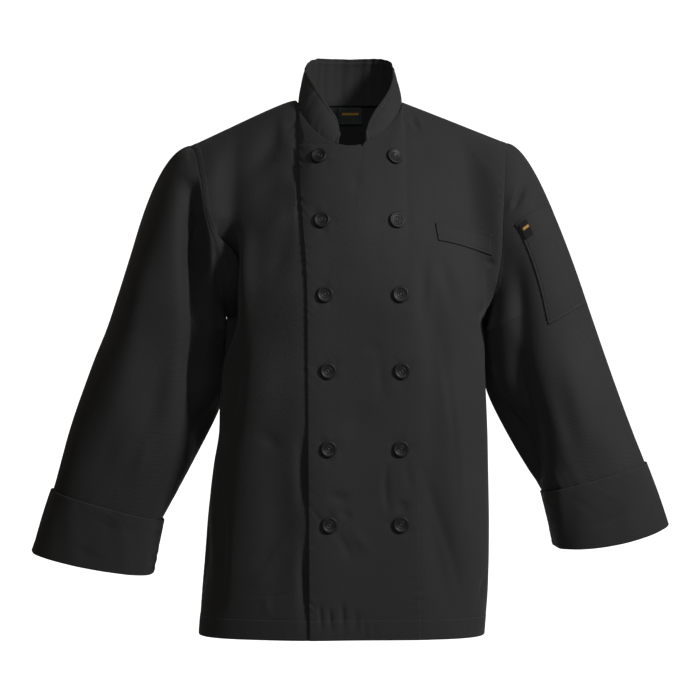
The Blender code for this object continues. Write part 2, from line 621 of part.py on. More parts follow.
def wall_faces(rows, columns, closed):
    """Triangles of a wall: outer grid, inner grid and the strips round its free edges."""
    def outer(row, column):
        return row * columns + column % columns

    def inner(row, column):
        return rows * columns + outer(row, column)

    faces = []
    last = columns if closed else columns - 1
    for row in range(rows - 1):
        for column in range(last):
            for layer, flip in ((outer, False), (inner, True)):
                a, b = layer(row, column), layer(row, column + 1)
                c, d = layer(row + 1, column + 1), layer(row + 1, column)
                pair = [(a, b, c), (a, c, d)]
                faces += [tuple(reversed(face)) for face in pair] if flip else pair
    for row, flip in ((0, True), (rows - 1, False)):
        for column in range(last):
            a, b = outer(row, column), outer(row, column + 1)
            c, d = inner(row, column + 1), inner(row, column)
            pair = [(a, b, c), (a, c, d)]
            faces += [tuple(reversed(face)) for face in pair] if flip else pair
    if not closed:
        for column, flip in ((0, False), (columns - 1, True)):
            for row in range(rows - 1):
                a, b = outer(row, column), outer(row + 1, column)
                c, d = inner(row + 1, column), inner(row, column)
                pair = [(a, b, c), (a, c, d)]
                faces += [tuple(reversed(face)) for face in pair] if flip else pair
    return faces


def add_wall(name, outer, normal, thickness, finish, closed=False):
    """Wall of cloth from its outer points, one thickness deep along their normals."""
    rows, columns = outer.shape[:2]
    inner = outer - normal * thickness
    points = np.concatenate((outer.reshape(-1, 3), inner.reshape(-1, 3)))
    return add_solid(name, points, wall_faces(rows, columns, closed), finish)


def panel_heights():
    """Row places from the hem to the top, closer above the underarm."""
    high = 1.0 + np.linspace(0.0, 1.0, HIGH_ROWS + 1)[1:] ** HIGH_CROWD
    return np.concatenate((np.linspace(0.0, 1.0, LOW_ROWS + 1), high))


def meet_at_seams(points, normal, a, t, face):
    """Stop a panel half a gap short of the side and shoulder seams, with its edge square to y."""
    toward = -1.0 if face == "front" else 1.0
    on_side = (np.abs(a) > 0.9999) & (t < 1.001)
    on_shoulder = (t > 1.9999) & (np.abs(a) > NECK_SHARE - 0.02)
    on_seam = (on_side | on_shoulder)[..., None]
    square = unit(normal * np.array((1.0, 0.0, 1.0)))
    shift = np.array((0.0, toward * SEAM_GAP / 2, 0.0))
    return np.where(on_seam, points + shift, points), np.where(on_seam, square, normal)


def build_front(name, upper):
    across, up = np.meshgrid(np.linspace(0.0, 1.0, FRONT_COLUMNS) ** FRONT_CROWD, panel_heights())
    a, t = front_places(upper, across, up)

    def surface(u, v):
        return front_surface(u, v, upper)

    normal = normals(surface, a, t, (-1.0, 1.0), (0.0, 2.0), lambda u, v: torso_centre(u, v, "front"))
    points, normal = meet_at_seams(surface(a, t), normal, a, t, "front")
    return add_wall(name, points, normal, WALL, CLOTH)


def build_back():
    a, t = np.meshgrid(np.linspace(-1.0, 1.0, BACK_COLUMNS), panel_heights())
    normal = normals(back_surface, a, t, (-1.0, 1.0), (0.0, 2.0), lambda u, v: torso_centre(u, v, "back"))
    points, normal = meet_at_seams(back_surface(a, t), normal, a, t, "back")
    return add_wall("back", points, normal, WALL, CLOTH)


def sleeve_angles():
    """Angles round a sleeve, closest on the side towards the body."""
    even = np.arange(SLEEVE_COLUMNS) * 360.0 / SLEEVE_COLUMNS
    return even - SLEEVE_CROWD * np.sin(np.radians(even))


def build_sleeve(side):
    places = np.concatenate((np.linspace(0.0, 1.0, CAP_ROWS + 1),
                             np.linspace(1.0, 2.0, SLEEVE_ROWS + 1)[1:], (2.0 + CUFF_TUCK,)))
    angle, place = np.meshgrid(sleeve_angles(), places)

    def surface(u, v):
        return sleeve_surface(side, u, v)

    normal = sleeve_normal(surface, side, angle, place, 3.0)
    return add_wall("sleeve_" + side, surface(angle, place), normal, WALL, CLOTH, closed=True)


def build_cuff(side):
    angle, place = np.meshgrid(sleeve_angles(), np.linspace(2.0, 3.0, CUFF_ROWS + 1))

    def surface(u, v):
        return sleeve_plain(side, u, v)

    normal = sleeve_normal(surface, side, angle, place, 3.0)
    points = surface(angle, place) + normal * CUFF_OUTSET
    return add_wall("cuff_" + side, points, normal, FIRM_WALL, CLOTH, closed=True)


def build_collar():
    shares, ups = np.meshgrid(np.linspace(0.0, 1.0, COLLAR_COLUMNS), np.linspace(0.0, 1.0, COLLAR_ROWS + 1))
    normal = normals(collar_surface, shares, ups, (0.0, 1.0), (0.0, 1.0),
                     lambda u, v: collar_surface(u, v) * np.array((0.0, 0.0, 1.0)))
    normal = unit(normal * np.array((1.0, 1.0, 0.0)))
    return add_wall("collar", collar_surface(shares, ups), normal, FIRM_WALL, CLOTH)


# ---- pieces that lie on panels ----------------------------------------------------------------
def locate(surface, x, z, a, t):
    """Parameters at which a front surface shows x and z, by Newton steps from a, t."""
    for _ in range(12):
        a, t = np.clip(a, -0.995, 0.995), np.clip(t, 0.005, 1.995)
        here = surface(a, t)
        by_a = (surface(a + STEP, t) - here) / STEP
        by_t = (surface(a, t + STEP) - here) / STEP
        miss_x, miss_z = x - here[..., 0], z - here[..., 2]
        spread = by_a[..., 0] * by_t[..., 2] - by_t[..., 0] * by_a[..., 2]
        a = a + (miss_x * by_t[..., 2] - miss_z * by_t[..., 0]) / spread
        t = t + (miss_z * by_a[..., 0] - miss_x * by_a[..., 2]) / spread
    return a, t


def front_spot(x, z):
    """Point and normal of the upper front at x, z seen from the front."""
    def surface(u, v):
        return front_surface(u, v, True)

    x, z = np.asarray(x, float), np.asarray(z, float)
    a, t = locate(surface, x, z, x / 0.2, 2.0 + z / 0.3)
    normal = normals(surface, a, t, (-1.0, 1.0), (0.0, 2.0), lambda u, v: torso_centre(u, v, "front"))
    return surface(a, t), normal


def add_button(name, x, z):
    """Turned disc with a raised rim and a dished middle, square to the cloth under it."""
    spot, normal = front_spot(np.array([x]), np.array([z]))
    spot, normal = spot[0], normal[0]
    side = unit(np.cross((0.0, 0.0, 1.0), normal))
    up = np.cross(normal, side)
    points = []
    for radius, height in BUTTON_OUTLINE:
        for step in range(BUTTON_SIDES):
            turn = 2 * np.pi * step / BUTTON_SIDES
            flat = radius * (np.cos(turn) * side + np.sin(turn) * up)
            points.append(spot + flat + normal * (BUTTON_GAP + height))
    faces = []
    for band in range(len(BUTTON_OUTLINE) - 1):
        for step in range(BUTTON_SIDES):
            near, far = band * BUTTON_SIDES, (band + 1) * BUTTON_SIDES
            following = (step + 1) % BUTTON_SIDES
            faces.append((near + step, near + following, far + following))
            faces.append((near + step, far + following, far + step))
    last = (len(BUTTON_OUTLINE) - 1) * BUTTON_SIDES
    points.append(spot + normal * BUTTON_GAP)
    points.append(spot + normal * (BUTTON_GAP + BUTTON_OUTLINE[-1][1]))
    for step in range(BUTTON_SIDES):
        following = (step + 1) % BUTTON_SIDES
        faces.append((len(points) - 2, following, step))
        faces.append((len(points) - 1, last + step, last + following))
    return add_solid(name, np.array(points), faces, BUTTON_PLASTIC)


def build_buttons():
    for number, (z, right_x, left_x) in enumerate(BUTTON_ROWS, start=1):
        add_button("button_right_%d" % number, right_x, z)
        add_button("button_left_%d" % number, left_x, z)


def add_patch(name, points, normal, gap, thickness, finish):
    """Piece lying on a panel: the panel's points moved out past the gap and the piece's wall."""
    return add_wall(name, points + normal * (gap + thickness), normal, thickness, finish)


def even_grid(grid, left=0.0, right=1.0, top=0.0, low=1.0):
    """Evenly spaced shares across and down, for the columns and rows of a grid."""
    columns, rows = grid
    return np.meshgrid(np.linspace(left, right, columns), np.linspace(top, low, rows))


def build_welt():
    across, down = even_grid(WELT_GRID)

    def along(edge):
        start, middle, end = (np.array(corner) for corner in WELT[edge])
        pull = (2 * middle - (start + end) / 2)
        share = across[..., None]
        return (1 - share) ** 2 * start + 2 * share * (1 - share) * pull + share ** 2 * end

    place = along("top") * (1 - down[..., None]) + along("low") * down[..., None]
    points, normal = front_spot(place[..., 0], place[..., 1])
    return add_patch("chest_welt", points, normal, PATCH_GAP, PATCH_WALL, CLOTH)


def pocket_spot(across, down):
    """Point and normal of the wearer's left sleeve under the pen pocket."""
    (a0, p0), (a1, p1) = POCKET["top"]
    (a2, p2), (a3, p3) = POCKET["low"]
    bow = POCKET_BOW[0] + (POCKET_BOW[1] - POCKET_BOW[0]) * across
    angle = (a0 + (a1 - a0) * across) * (1 - down) + (a2 + (a3 - a2) * across) * down
    angle = angle - bow * 4.0 * down * (1.0 - down)
    place = (p0 + (p1 - p0) * across) * (1 - down) + (p2 + (p3 - p2) * across) * down

    def surface(u, v):
        return sleeve_surface("left", u, v)

    return surface(angle, place), sleeve_normal(surface, "left", angle, place, 3.0)


def build_sleeve_pocket():
    points, normal = pocket_spot(*even_grid(POCKET_GRID))
    add_patch("sleeve_pocket", points, normal, POCKET_GAP, PATCH_WALL, CLOTH)
    points, normal = pocket_spot(*even_grid(POCKET_LABEL_GRID, *POCKET_LABEL))
    over_pocket = points + normal * (POCKET_GAP + PATCH_WALL)
    add_patch("pocket_label", over_pocket, normal, TAPE_GAP, LABEL_WALL, LABEL_CLOTH)


def build_neck_label():
    """Label on the inner face of the back, just under the collar seam."""
    width, height, drop = NECK_LABEL
    top = NECK_SIDE_Z + NECK_NAPE - drop
    x, z = even_grid(NECK_LABEL_GRID, -width / 2, width / 2, top, top - height)
    a, t = locate(back_surface, x, z, x / 0.22, 2.0 + z / 0.3)
    normal = normals(back_surface, a, t, (-1.0, 1.0), (0.0, 2.0), lambda u, v: torso_centre(u, v, "back"))
    points = back_surface(a, t) - normal * (WALL + LABEL_GAP)
    return add_wall("neck_label", points, normal, LABEL_WALL, LABEL_CLOTH)


def main():
    for old in list(bpy.data.objects):
        bpy.data.objects.remove(old, do_unlink=True)
    build_front("front_left", upper=True)
    build_front("front_right", upper=False)
    build_back()
    for side in ("left", "right"):
        build_sleeve(side)
        build_cuff(side)
    build_collar()
    build_welt()
    build_sleeve_pocket()
    build_neck_label()
    build_buttons()


main()
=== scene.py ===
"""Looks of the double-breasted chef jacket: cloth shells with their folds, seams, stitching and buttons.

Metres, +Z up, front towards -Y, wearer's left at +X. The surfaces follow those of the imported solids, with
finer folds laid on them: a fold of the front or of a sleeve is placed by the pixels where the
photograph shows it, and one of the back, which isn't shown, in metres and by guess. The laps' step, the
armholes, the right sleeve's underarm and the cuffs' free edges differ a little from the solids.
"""

import bpy
import numpy as np
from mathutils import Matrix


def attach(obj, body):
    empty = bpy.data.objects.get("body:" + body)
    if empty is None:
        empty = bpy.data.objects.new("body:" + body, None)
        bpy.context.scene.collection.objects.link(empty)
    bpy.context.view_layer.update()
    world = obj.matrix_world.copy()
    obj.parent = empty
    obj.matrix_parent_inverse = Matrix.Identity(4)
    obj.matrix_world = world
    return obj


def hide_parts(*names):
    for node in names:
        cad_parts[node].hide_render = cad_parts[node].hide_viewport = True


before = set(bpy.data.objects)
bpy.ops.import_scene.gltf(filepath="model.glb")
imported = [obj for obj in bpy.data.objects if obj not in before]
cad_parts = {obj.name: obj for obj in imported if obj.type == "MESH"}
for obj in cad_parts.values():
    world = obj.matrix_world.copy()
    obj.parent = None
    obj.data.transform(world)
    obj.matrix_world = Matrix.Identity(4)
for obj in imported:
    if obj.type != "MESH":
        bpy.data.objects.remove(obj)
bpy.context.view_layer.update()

# ---- camera -----------------------------------------------------------------------------------
CAMERA_DISTANCE = 3.3    # in front of the origin, along -Y
CAMERA_HEIGHT = -0.343
PIXEL = 0.0014           # metres that one of the photograph's pixels covers at the origin's depth
FRAME_PIXELS = 700
SENSOR = 36.0

# ---- cloth ------------------------------------------------------------------------------------
WALL = 0.0012            # one layer of twill
FIRM_WALL = 0.0024       # collar and cuffs: two layers and interfacing
ARMHOLE_GAP = 0.0007     # clear space at the armholes, where two curved walls meet at an angle
PATCH_GAP = 0.0008       # clear space under a piece that lies on a panel
BUTTON_GAP = 0.0005      # clear space under a button
POCKET_GAP = 0.0008      # clear space under the sleeve pocket, where the sleeve is most curved
PATCH_WALL = 0.0014      # welt and pocket
LABEL_WALL = 0.0010      # woven labels
LABEL_GAP = 0.0013       # clear space between the neck label and the hollow side of the back
TAPE_GAP = 0.0008        # clear space under the label on the sleeve pocket
LAP_RAISE = 0.0018       # the upper lap's outer face over the plain torso
LAP_RAMP = 0.024         # width over which the upper front comes back down past the lower lap
LAP_SINK = 0.0006        # the lower lap's outer face below the plain torso, where it is covered
LAP_SINK_START = 0.020   # width over which it goes down beside the upper lap's edge
LAP_FADE = (-0.038, -0.061)   # heights over which both die out towards the neckline

# ---- torso ------------------------------------------------------------------------------------
HEM_Z = -0.733
HEM_SIDE_DROP = 0.003    # the hem hangs lower towards the side seams
UNDERARM_Z = -0.300
# Level sections: height, reach to the wearer's right and left, front and back depth, boxiness
TORSO = (
    (-0.733, -0.2100, 0.1870, 0.1300, 0.1200, 3.3),
    (-0.680, -0.2070, 0.1915, 0.1285, 0.1170, 3.2),
    (-0.600, -0.1995, 0.1935, 0.1265, 0.1110, 3.1),
    (-0.500, -0.1893, 0.1922, 0.1250, 0.1040, 3.1),
    (-0.460, -0.1825, 0.1915, 0.1247, 0.1033, 3.1),
    (-0.420, -0.1812, 0.1900, 0.1245, 0.1030, 3.1),
    (-0.360, -0.1755, 0.1872, 0.1250, 0.1080, 3.1),
    (-0.300, -0.1729, 0.1840, 0.1260, 0.1150, 3.0),
)
# Neck opening: an oval on plan that drops towards the front
NECK_HALF = 0.0735
NECK_Y = 0.005
NECK_FRONT = 0.083
NECK_BACK = 0.067
NECK_SIDE_Z = 0.004
NECK_DROP = 0.067
NECK_NAPE = 0.004
NECK_CURVE = 1.4
NECK_SHARE = 0.34        # share of a panel's half width whose columns end on the neckline
# Shoulder seams end at x, z, and bow upward between the side neck point and there
SHOULDER = {"right": (-0.2226, -0.0566, 0.0066), "left": (0.2188, -0.0528, 0.0004)}
SHOULDER_BOW_EARLY = 0.4 # the bow peaks near the neck
SHOULDER_ROLL = 0.12     # how strongly the panels round over the shoulder
NECK_ROLL = 0.20
FRONT_NECK_RISE = (0.0, 0.50, 0.85)
BACK_NECK_RISE = (0.0, -0.35, 0.94)
SHOULDER_RISE = (0.0, 1.0, 0.0)
ARMHOLE_REACH = 0.70     # share of the half width from which a panel bends towards its armhole
# Armhole seams from the underarm to the shoulder point: share, x, y, z
ARMHOLES = {
    ("right", "front"): (
        (0.0, -0.1720, 0.000, -0.300),
        (0.2, -0.1755, -0.036, -0.262),
        (0.4, -0.1800, -0.056, -0.210),
        (0.6, -0.1970, -0.066, -0.160),
        (0.8, -0.2060, -0.050, -0.104),
        (0.9, -0.2140, -0.024, -0.073),
        (1.0, -0.2226, 0.005, -0.0566),
    ),
    ("left", "front"): (
        (0.0, 0.1840, 0.000, -0.300),
        (0.2, 0.1985, -0.034, -0.268),
        (0.4, 0.2085, -0.051, -0.220),
        (0.6, 0.2108, -0.056, -0.165),
        (0.8, 0.2140, -0.045, -0.105),
        (0.9, 0.2166, -0.026, -0.070),
        (1.0, 0.2188, 0.005, -0.0528),
    ),
    ("right", "back"): (
        (0.0, -0.1720, 0.000, -0.300),
        (0.2, -0.1830, 0.042, -0.264),
        (0.4, -0.1950, 0.068, -0.212),
        (0.6, -0.2000, 0.078, -0.158),
        (0.8, -0.2080, 0.064, -0.102),
        (0.9, -0.2150, 0.036, -0.072),
        (1.0, -0.2226, 0.005, -0.0566),
    ),
    ("left", "back"): (
        (0.0, 0.1840, 0.000, -0.300),
        (0.2, 0.1950, 0.042, -0.264),
        (0.4, 0.2025, 0.068, -0.212),
        (0.6, 0.2040, 0.078, -0.158),
        (0.8, 0.2098, 0.064, -0.102),
        (0.9, 0.2145, 0.036, -0.070),
        (1.0, 0.2188, 0.005, -0.0528),
    ),
}
# Front edges: height, x of the upper lap's edge, x of the lower lap's edge
LAPS = (
    (-0.735, -0.0538, 0.0940),
    (-0.540, -0.0550, 0.0915),
    (-0.350, -0.0565, 0.0895),
    (-0.235, -0.0580, 0.0870),
    (-0.135, -0.0641, 0.0840),
    (-0.060, -0.0677, 0.0815),
)
LAP_TOP = (-0.0620, -0.0655)   # the upper lap's top edge, at its corner and at the neck
LAP_TOP_END = (0.017, 0.031)   # x over which that edge runs into the neckline
UNDER_TOP_Z = -0.074           # the lower lap's top edge, hidden behind the upper one

# ---- sleeves ----------------------------------------------------------------------------------
# Sections below the armhole: place along the sleeve, x and z of the side towards the body, x and z
# of the outer side, y of the middle, depth to the front and back, and how far those two hang below
SLEEVES = {
    "right": (
        (1.0, -0.1716, -0.3180, -0.3245, -0.2586, 0.040, 0.110, 0.042, 0.0),
        (1.3, -0.1760, -0.3650, -0.3430, -0.3130, 0.044, 0.110, 0.042, 0.0),
        (1.6, -0.1850, -0.4260, -0.3665, -0.3720, 0.044, 0.108, 0.040, 0.0),
        (1.8, -0.2195, -0.4970, -0.3920, -0.4500, 0.022, 0.084, 0.046, 0.0),
        (2.0, -0.2640, -0.5805, -0.4150, -0.5385, 0.010, 0.068, 0.046, 0.001),
    ),
    "left": (
        (1.0, 0.1860, -0.3180, 0.3265, -0.2590, 0.022, 0.090, 0.060, 0.0),
        (1.3, 0.1884, -0.3600, 0.3425, -0.3030, 0.034, 0.098, 0.050, 0.0),
        (1.6, 0.1980, -0.4130, 0.3610, -0.3560, 0.034, 0.096, 0.046, 0.0),
        (1.8, 0.2325, -0.4800, 0.3865, -0.4300, 0.022, 0.082, 0.046, 0.0),
        (2.0, 0.2705, -0.5410, 0.4130, -0.5015, 0.010, 0.067, 0.046, 0.001),
    ),
}
# The same columns at each cuff's free edge; the cuff runs straight from the sleeve's last section
CUFF_ENDS = {
    "right": (-0.2790, -0.6550, -0.4433, -0.6235, 0.012, 0.066, 0.054, 0.004),
    "left": (0.2895, -0.6165, 0.4434, -0.5860, 0.016, 0.065, 0.054, 0.010),
}
SLEEVE_BOX = 2.7         # boxiness of these sections
# How the sleeve leaves the armhole, in lengths of the cap: angle from the underarm, pull outward,
# forward and upward at the armhole, pull along the sleeve at the underarm section
SLEEVE_START = {
    "right": (
        (0.0, 0.02, 0.00, -0.79, 0.45),
        (45.0, 0.45, -0.26, -0.61, 0.45),
        (90.0, 0.65, -0.26, -0.48, 0.45),
        (135.0, 0.74, -0.19, -0.26, 0.48),
        (180.0, 0.70, 0.00, -0.06, 0.50),
    ),
    "left": (
        (0.0, 0.31, 0.00, -0.79, 0.45),
        (45.0, 0.53, -0.26, -0.61, 0.45),
        (90.0, 0.65, -0.26, -0.48, 0.55),
        (135.0, 0.62, -0.19, -0.26, 0.90),
        (180.0, 0.45, 0.00, -0.04, 1.25),
    ),
}
CUFF_OUTSET = 0.0033     # the turned cuff's outer face over the sleeve's
CUFF_TUCK = 0.13         # how far the sleeve runs on inside the cuff, in cuff lengths

# ---- collar -----------------------------------------------------------------------------------
# Stand collar: degrees round the neck from the front, rise, and top's size against the base's
COLLARS = {
    "right": (
        (12.9, 0.0143, 0.780),
        (20.0, 0.0314, 0.690),
        (30.0, 0.0388, 0.700),
        (45.0, 0.0437, 0.730),
        (60.0, 0.0450, 0.770),
        (75.0, 0.0430, 0.805),
        (90.0, 0.0440, 0.850),
        (105.0, 0.0545, 0.855),
        (120.0, 0.0605, 0.865),
        (135.0, 0.0630, 0.865),
        (150.0, 0.0632, 0.855),
        (180.0, 0.0626, 0.840),
    ),
    "left": (
        (18.0, 0.0150, 0.960),
        (25.0, 0.0240, 0.830),
        (35.0, 0.0310, 0.775),
        (50.0, 0.0330, 0.780),
        (65.0, 0.0345, 0.820),
        (78.0, 0.0385, 0.840),
        (90.0, 0.0410, 0.838),
        (105.0, 0.0520, 0.850),
        (120.0, 0.0595, 0.862),
        (135.0, 0.0626, 0.865),
        (150.0, 0.0632, 0.855),
        (180.0, 0.0626, 0.840),
    ),
}
COLLAR_SWELL = 0.0020    # how far the collar bulges at half its height
COLLAR_INSET = 0.985     # the collar's base against the neckline, so it stands inside its edge
COLLAR_GAP = 0.0013      # clear height over the neckline

# ---- pieces on the panels ---------------------------------------------------------------------
# Buttons: height, x of the wearer's right column, x of the wearer's left column
BUTTON_ROWS = (
    (-0.0780, -0.0422, 0.0607),
    (-0.1670, -0.0379, 0.0635),
    (-0.2680, -0.0337, 0.0680),
    (-0.3710, -0.0296, 0.0699),
    (-0.4760, -0.0290, 0.0686),
    (-0.5780, -0.0276, 0.0686),
)
# Chest welt corners as seen from the front: x, z
WELT = {"top": ((0.1167, -0.1706), (0.1560, -0.1735), (0.1975, -0.1850)),
        "low": ((0.1205, -0.1935), (0.1575, -0.2010), (0.1955, -0.2125))}
# Pen pocket on the wearer's left sleeve, each corner's angle round the sleeve and place along it
POCKET = {"top": ((113.0, 0.175), (154.5, 0.465)), "low": ((99.0, 1.165), (145.5, 1.100))}
POCKET_BOW = (4.5, 7.0)   # degrees by which its two long edges bow towards the sleeve's front
POCKET_LABEL = (0.05, 0.29, 0.02, 0.145)   # its place in the pocket: across from, to, down from, to
NECK_LABEL = (0.034, 0.023, 0.004)        # width, height, drop below the back neckline

# ---- largest folds, as seen from the front ----------------------------------------------------
# Start x, z, end x, z, half width, depth (inward is negative), sideways bow, early or late peak
TORSO_FOLDS = (
    (-0.168, -0.165, -0.171, -0.345, 0.013, -0.018, 0.002, 0.9),
    (0.1830, -0.270, 0.1800, -0.350, 0.012, -0.007, 0.000, 1.0),
    (-0.087, -0.010, -0.150, -0.115, 0.016, -0.007, 0.006, 1.0),
    (-0.205, -0.500, -0.190, -0.735, 0.016, -0.008, 0.000, 1.3),
    (-0.090, -0.400, -0.105, -0.735, 0.024, -0.006, 0.004, 1.2),
    (-0.135, -0.260, -0.150, -0.650, 0.026, 0.005, 0.006, 1.0),
    (0.0900, -0.480, 0.1450, -0.735, 0.020, -0.005, 0.006, 1.1),
    (0.1250, -0.300, 0.1560, -0.700, 0.024, 0.006, 0.004, 1.0),
    (0.1000, -0.200, 0.1200, -0.420, 0.018, -0.005, 0.004, 1.0),
)
LOWER_LAP_FOLDS = (
    (-0.082, -0.075, -0.066, -0.128, 0.011, -0.0035, 0.000, 1.0),
)
BACK_FOLDS = (
    (-0.060, -0.250, -0.095, -0.735, 0.026, -0.008, 0.008, 1.2),
    (0.0550, -0.230, 0.0900, -0.735, 0.028, -0.008, -0.008, 1.2),
    (0.0050, -0.350, -0.004, -0.735, 0.024, -0.005, 0.006, 1.1),
    (-0.110, -0.120, -0.165, -0.300, 0.020, -0.008, 0.006, 1.0),
    (0.1120, -0.115, 0.1650, -0.310, 0.020, -0.008, -0.006, 1.0),
)
SLEEVE_FOLDS = {
    "right": (
        (-0.2300, -0.105, -0.2080, -0.355, 0.0170, -0.021, 0.009, 0.9),
        (-0.2050, -0.300, -0.2050, -0.520, 0.0200, -0.016, 0.000, 0.9),
        (-0.2950, -0.300, -0.3400, -0.520, 0.0260, 0.006, 0.000, 1.0),
    ),
    "left": (
        (0.2200, -0.205, 0.2650, -0.540, 0.0220, -0.008, -0.008, 1.0),
        (0.2480, -0.106, 0.2200, -0.150, 0.0060, -0.004, 0.000, 1.0),
        (0.3000, -0.330, 0.3500, -0.530, 0.0260, 0.005, 0.000, 1.0),
    ),
}
SLEEVE_BACK_FOLDS = {
    "right": ((-0.2300, -0.180, -0.2450, -0.420, 0.0180, -0.014, 0.006, 1.0),),
    "left": ((0.2300, -0.180, 0.2450, -0.420, 0.0180, -0.014, -0.006, 1.0),),
}
# Folds die out over these shares towards the sewn edges
PANEL_FADE = {"side": 0.10, "top": 0.12}
SLEEVE_FADE = {"armhole": 0.10, "cuff": 0.16}
FRONT_FACING = (-0.05, 0.35)   # sines of the sleeve's angle over which folds come in on each face
# The finer folds run closer to the seams
FINE_PANEL_FADE = {"side": 0.02, "top": 0.04}
FINE_SLEEVE_FADE = {"armhole": 0.04, "cuff": 0.10}
COVER_WIDTH = 0.008      # width over which the lower front takes on the upper one's finer folds
MILLIMETRE = 0.001


# ---- finer folds ------------------------------------------------------------------------------
# In the photograph's pixels: start x, y, end x, y, half width, then depth in millimetres (inward is
# negative), sideways bow in pixels (to the left of a fold that runs down), early or late peak
FINE_LOWER = (           # the wearer's right front
    (223, 216, 222, 410, 9.0, -24.0, 0, 0.6),    # the hollow beside the armhole
    (306, 100, 307, 300, 22.0, 3.0, 0, 1.0),     # the lap's edge stands on a soft ridge
    (306, 140, 308, 460, 26.0, 3.0, 0, 1.0),
    (308, 300, 309, 620, 42.0, 8.5, 0, 1.0),
    (309, 460, 310, 780, 44.0, 9.5, 0, 1.0),
    (295, 124, 298, 268, 6.0, 2.4, 0, 1.0),
    (237, 250, 236, 332, 2.0, 5.0, 0, 0.9),      # the fold inside it
    (247, 218, 245, 340, 8.0, 8.0, 0, 0.8),      # the chest's edge over it
    (239, 316, 221, 404, 3.0, 4.5, 4, 1.0),
    (283, 107, 281, 152, 5.0, 2.5, 0, 1.0),
    (286, 158, 250, 222, 12.0, -3.0, 0, 1.0),
    (299, 203, 250, 238, 8.0, 3.0, -3, 1.0),
    (288, 226, 262, 292, 9.0, -2.5, -4, 1.0),
    (292, 118, 301, 182, 4.0, -1.5, 0, 1.2),
    (302, 127, 302, 144, 1.6, -1.2, 0, 1.0),     # tucks under the collar
    (307, 129, 307, 144, 1.5, -1.2, 0, 1.0),
    (312, 132, 311, 145, 1.5, -1.0, 0, 1.0),
    (317, 135, 316, 146, 1.5, -1.0, 0, 1.0),
    (286, 129, 300, 121, 2.4, -1.5, 0, 1.0),
    (289, 139, 301, 132, 2.2, -1.4, 0, 1.0),
    (247, 318, 232, 452, 8.0, -5.0, 3, 1.0),
    (277, 325, 266, 446, 15.0, 3.0, 6, 1.0),
    (258, 428, 284, 454, 7.0, -2.5, 0, 1.0),
    (224, 452, 221, 628, 6.0, -7.0, 2, 1.1),
    (212, 466, 208, 626, 4.0, 3.0, 0, 1.0),
    (303, 420, 303, 524, 6.0, -6.0, 0, 1.0),     # hollows beside the upper lap's edge
    (304, 524, 306, 634, 5.0, -6.0, 0, 1.0),
    (283, 538, 251, 580, 7.0, -2.5, 0, 1.0),
    (297, 524, 246, 594, 8.0, 3.0, 0, 1.0),
    (264, 588, 270, 622, 3.0, 1.6, 0, 1.0),
    (226, 521, 306, 516, 1.2, -0.6, 0, 1.0),     # sharp creases from folding
    (230, 556, 268, 556, 1.2, -0.5, 0, 1.0),
    (226, 597, 306, 594, 1.2, -0.6, 0, 1.0),
    (232, 405, 302, 402, 1.3, -0.5, 0, 1.0),
)
FINE_UPPER = (           # the wearer's left front
    (306, 100, 307, 300, 20.0, 3.6, 0, 1.0),     # the lap's edge stands off the cloth below
    (306, 140, 308, 460, 24.0, 4.2, 0, 1.0),
    (308, 300, 309, 620, 42.0, 9.2, 0, 1.0),
    (309, 460, 310, 780, 44.0, 10.2, 0, 1.0),
    (349, 160, 362, 200, 6.0, -1.6, 0, 1.0),
    (390, 176, 372, 262, 8.0, -1.5, 0, 1.0),
    (426, 236, 421, 334, 6.0, -2.6, 0, 1.0),
    (432, 246, 430, 332, 4.0, 1.5, 0, 1.0),
    (438, 244, 459, 324, 6.0, -3.6, 0, 0.9),     # from the welt's inner end
    (452, 248, 471, 332, 10.0, 3.0, 0, 1.0),
    (482, 258, 483, 376, 3.0, 4.0, 0, 1.0),      # the chest's edge beside the sleeve
    (483, 262, 498, 264, 3.0, -3.0, 0, 1.0),
    (483, 301, 498, 283, 3.0, -4.0, 0, 1.0),
    (485, 316, 489, 332, 4.0, -5.0, 0, 1.0),
    (402, 115, 410, 134, 2.2, -2.0, 0, 1.0),     # tucks under the collar
    (408, 109, 422, 138, 2.8, -3.0, 0, 1.0),
    (415, 111, 424, 131, 2.0, 1.5, 0, 1.0),
    (414, 447, 468, 622, 4.5, -3.0, -3, 0.9),    # long drapes from the buttons to the hem
    (424, 466, 461, 622, 5.0, 2.2, -2, 1.0),
    (404, 453, 412, 500, 3.0, -1.5, 0, 1.0),
    (433, 318, 456, 486, 3.0, 1.3, 0, 1.0),
    (442, 328, 459, 524, 4.0, -1.3, 0, 1.0),
    (450, 330, 465, 550, 3.0, 1.2, 0, 1.0),
    (389, 454, 392, 522, 3.0, -2.6, 5, 1.0),     # bowed hollow between two buttons
    (397, 499, 409, 515, 4.0, -2.6, 0, 1.0),
    (379, 347, 383, 410, 5.0, -1.5, 0, 1.0),
    (369, 398, 344, 444, 9.0, -1.6, 0, 1.0),
    (324, 495, 353, 500, 5.0, -2.5, 0, 1.0),
    (339, 517, 354, 514, 4.0, -2.0, 0, 1.0),
    (334, 526, 356, 566, 4.0, -1.6, 0, 1.0),
    (345, 522, 376, 560, 5.0, 1.4, 0, 1.0),
    (360, 346, 389, 350, 4.0, -1.0, 0, 1.0),
    (320, 602, 322, 638, 2.2, -2.0, 0, 0.7),     # small folds in the hem
    (330, 606, 331, 638, 2.2, -2.4, 0, 0.7),
    (342, 600, 344, 638, 2.5, -2.6, 0, 0.7),
    (356, 608, 356, 638, 3.0, -1.6, 0, 0.7),
    (487, 562, 477, 616, 2.5, -2.6, 0, 1.0),
    (311, 508, 325, 525, 1.5, -1.3, 0, 1.0),
)
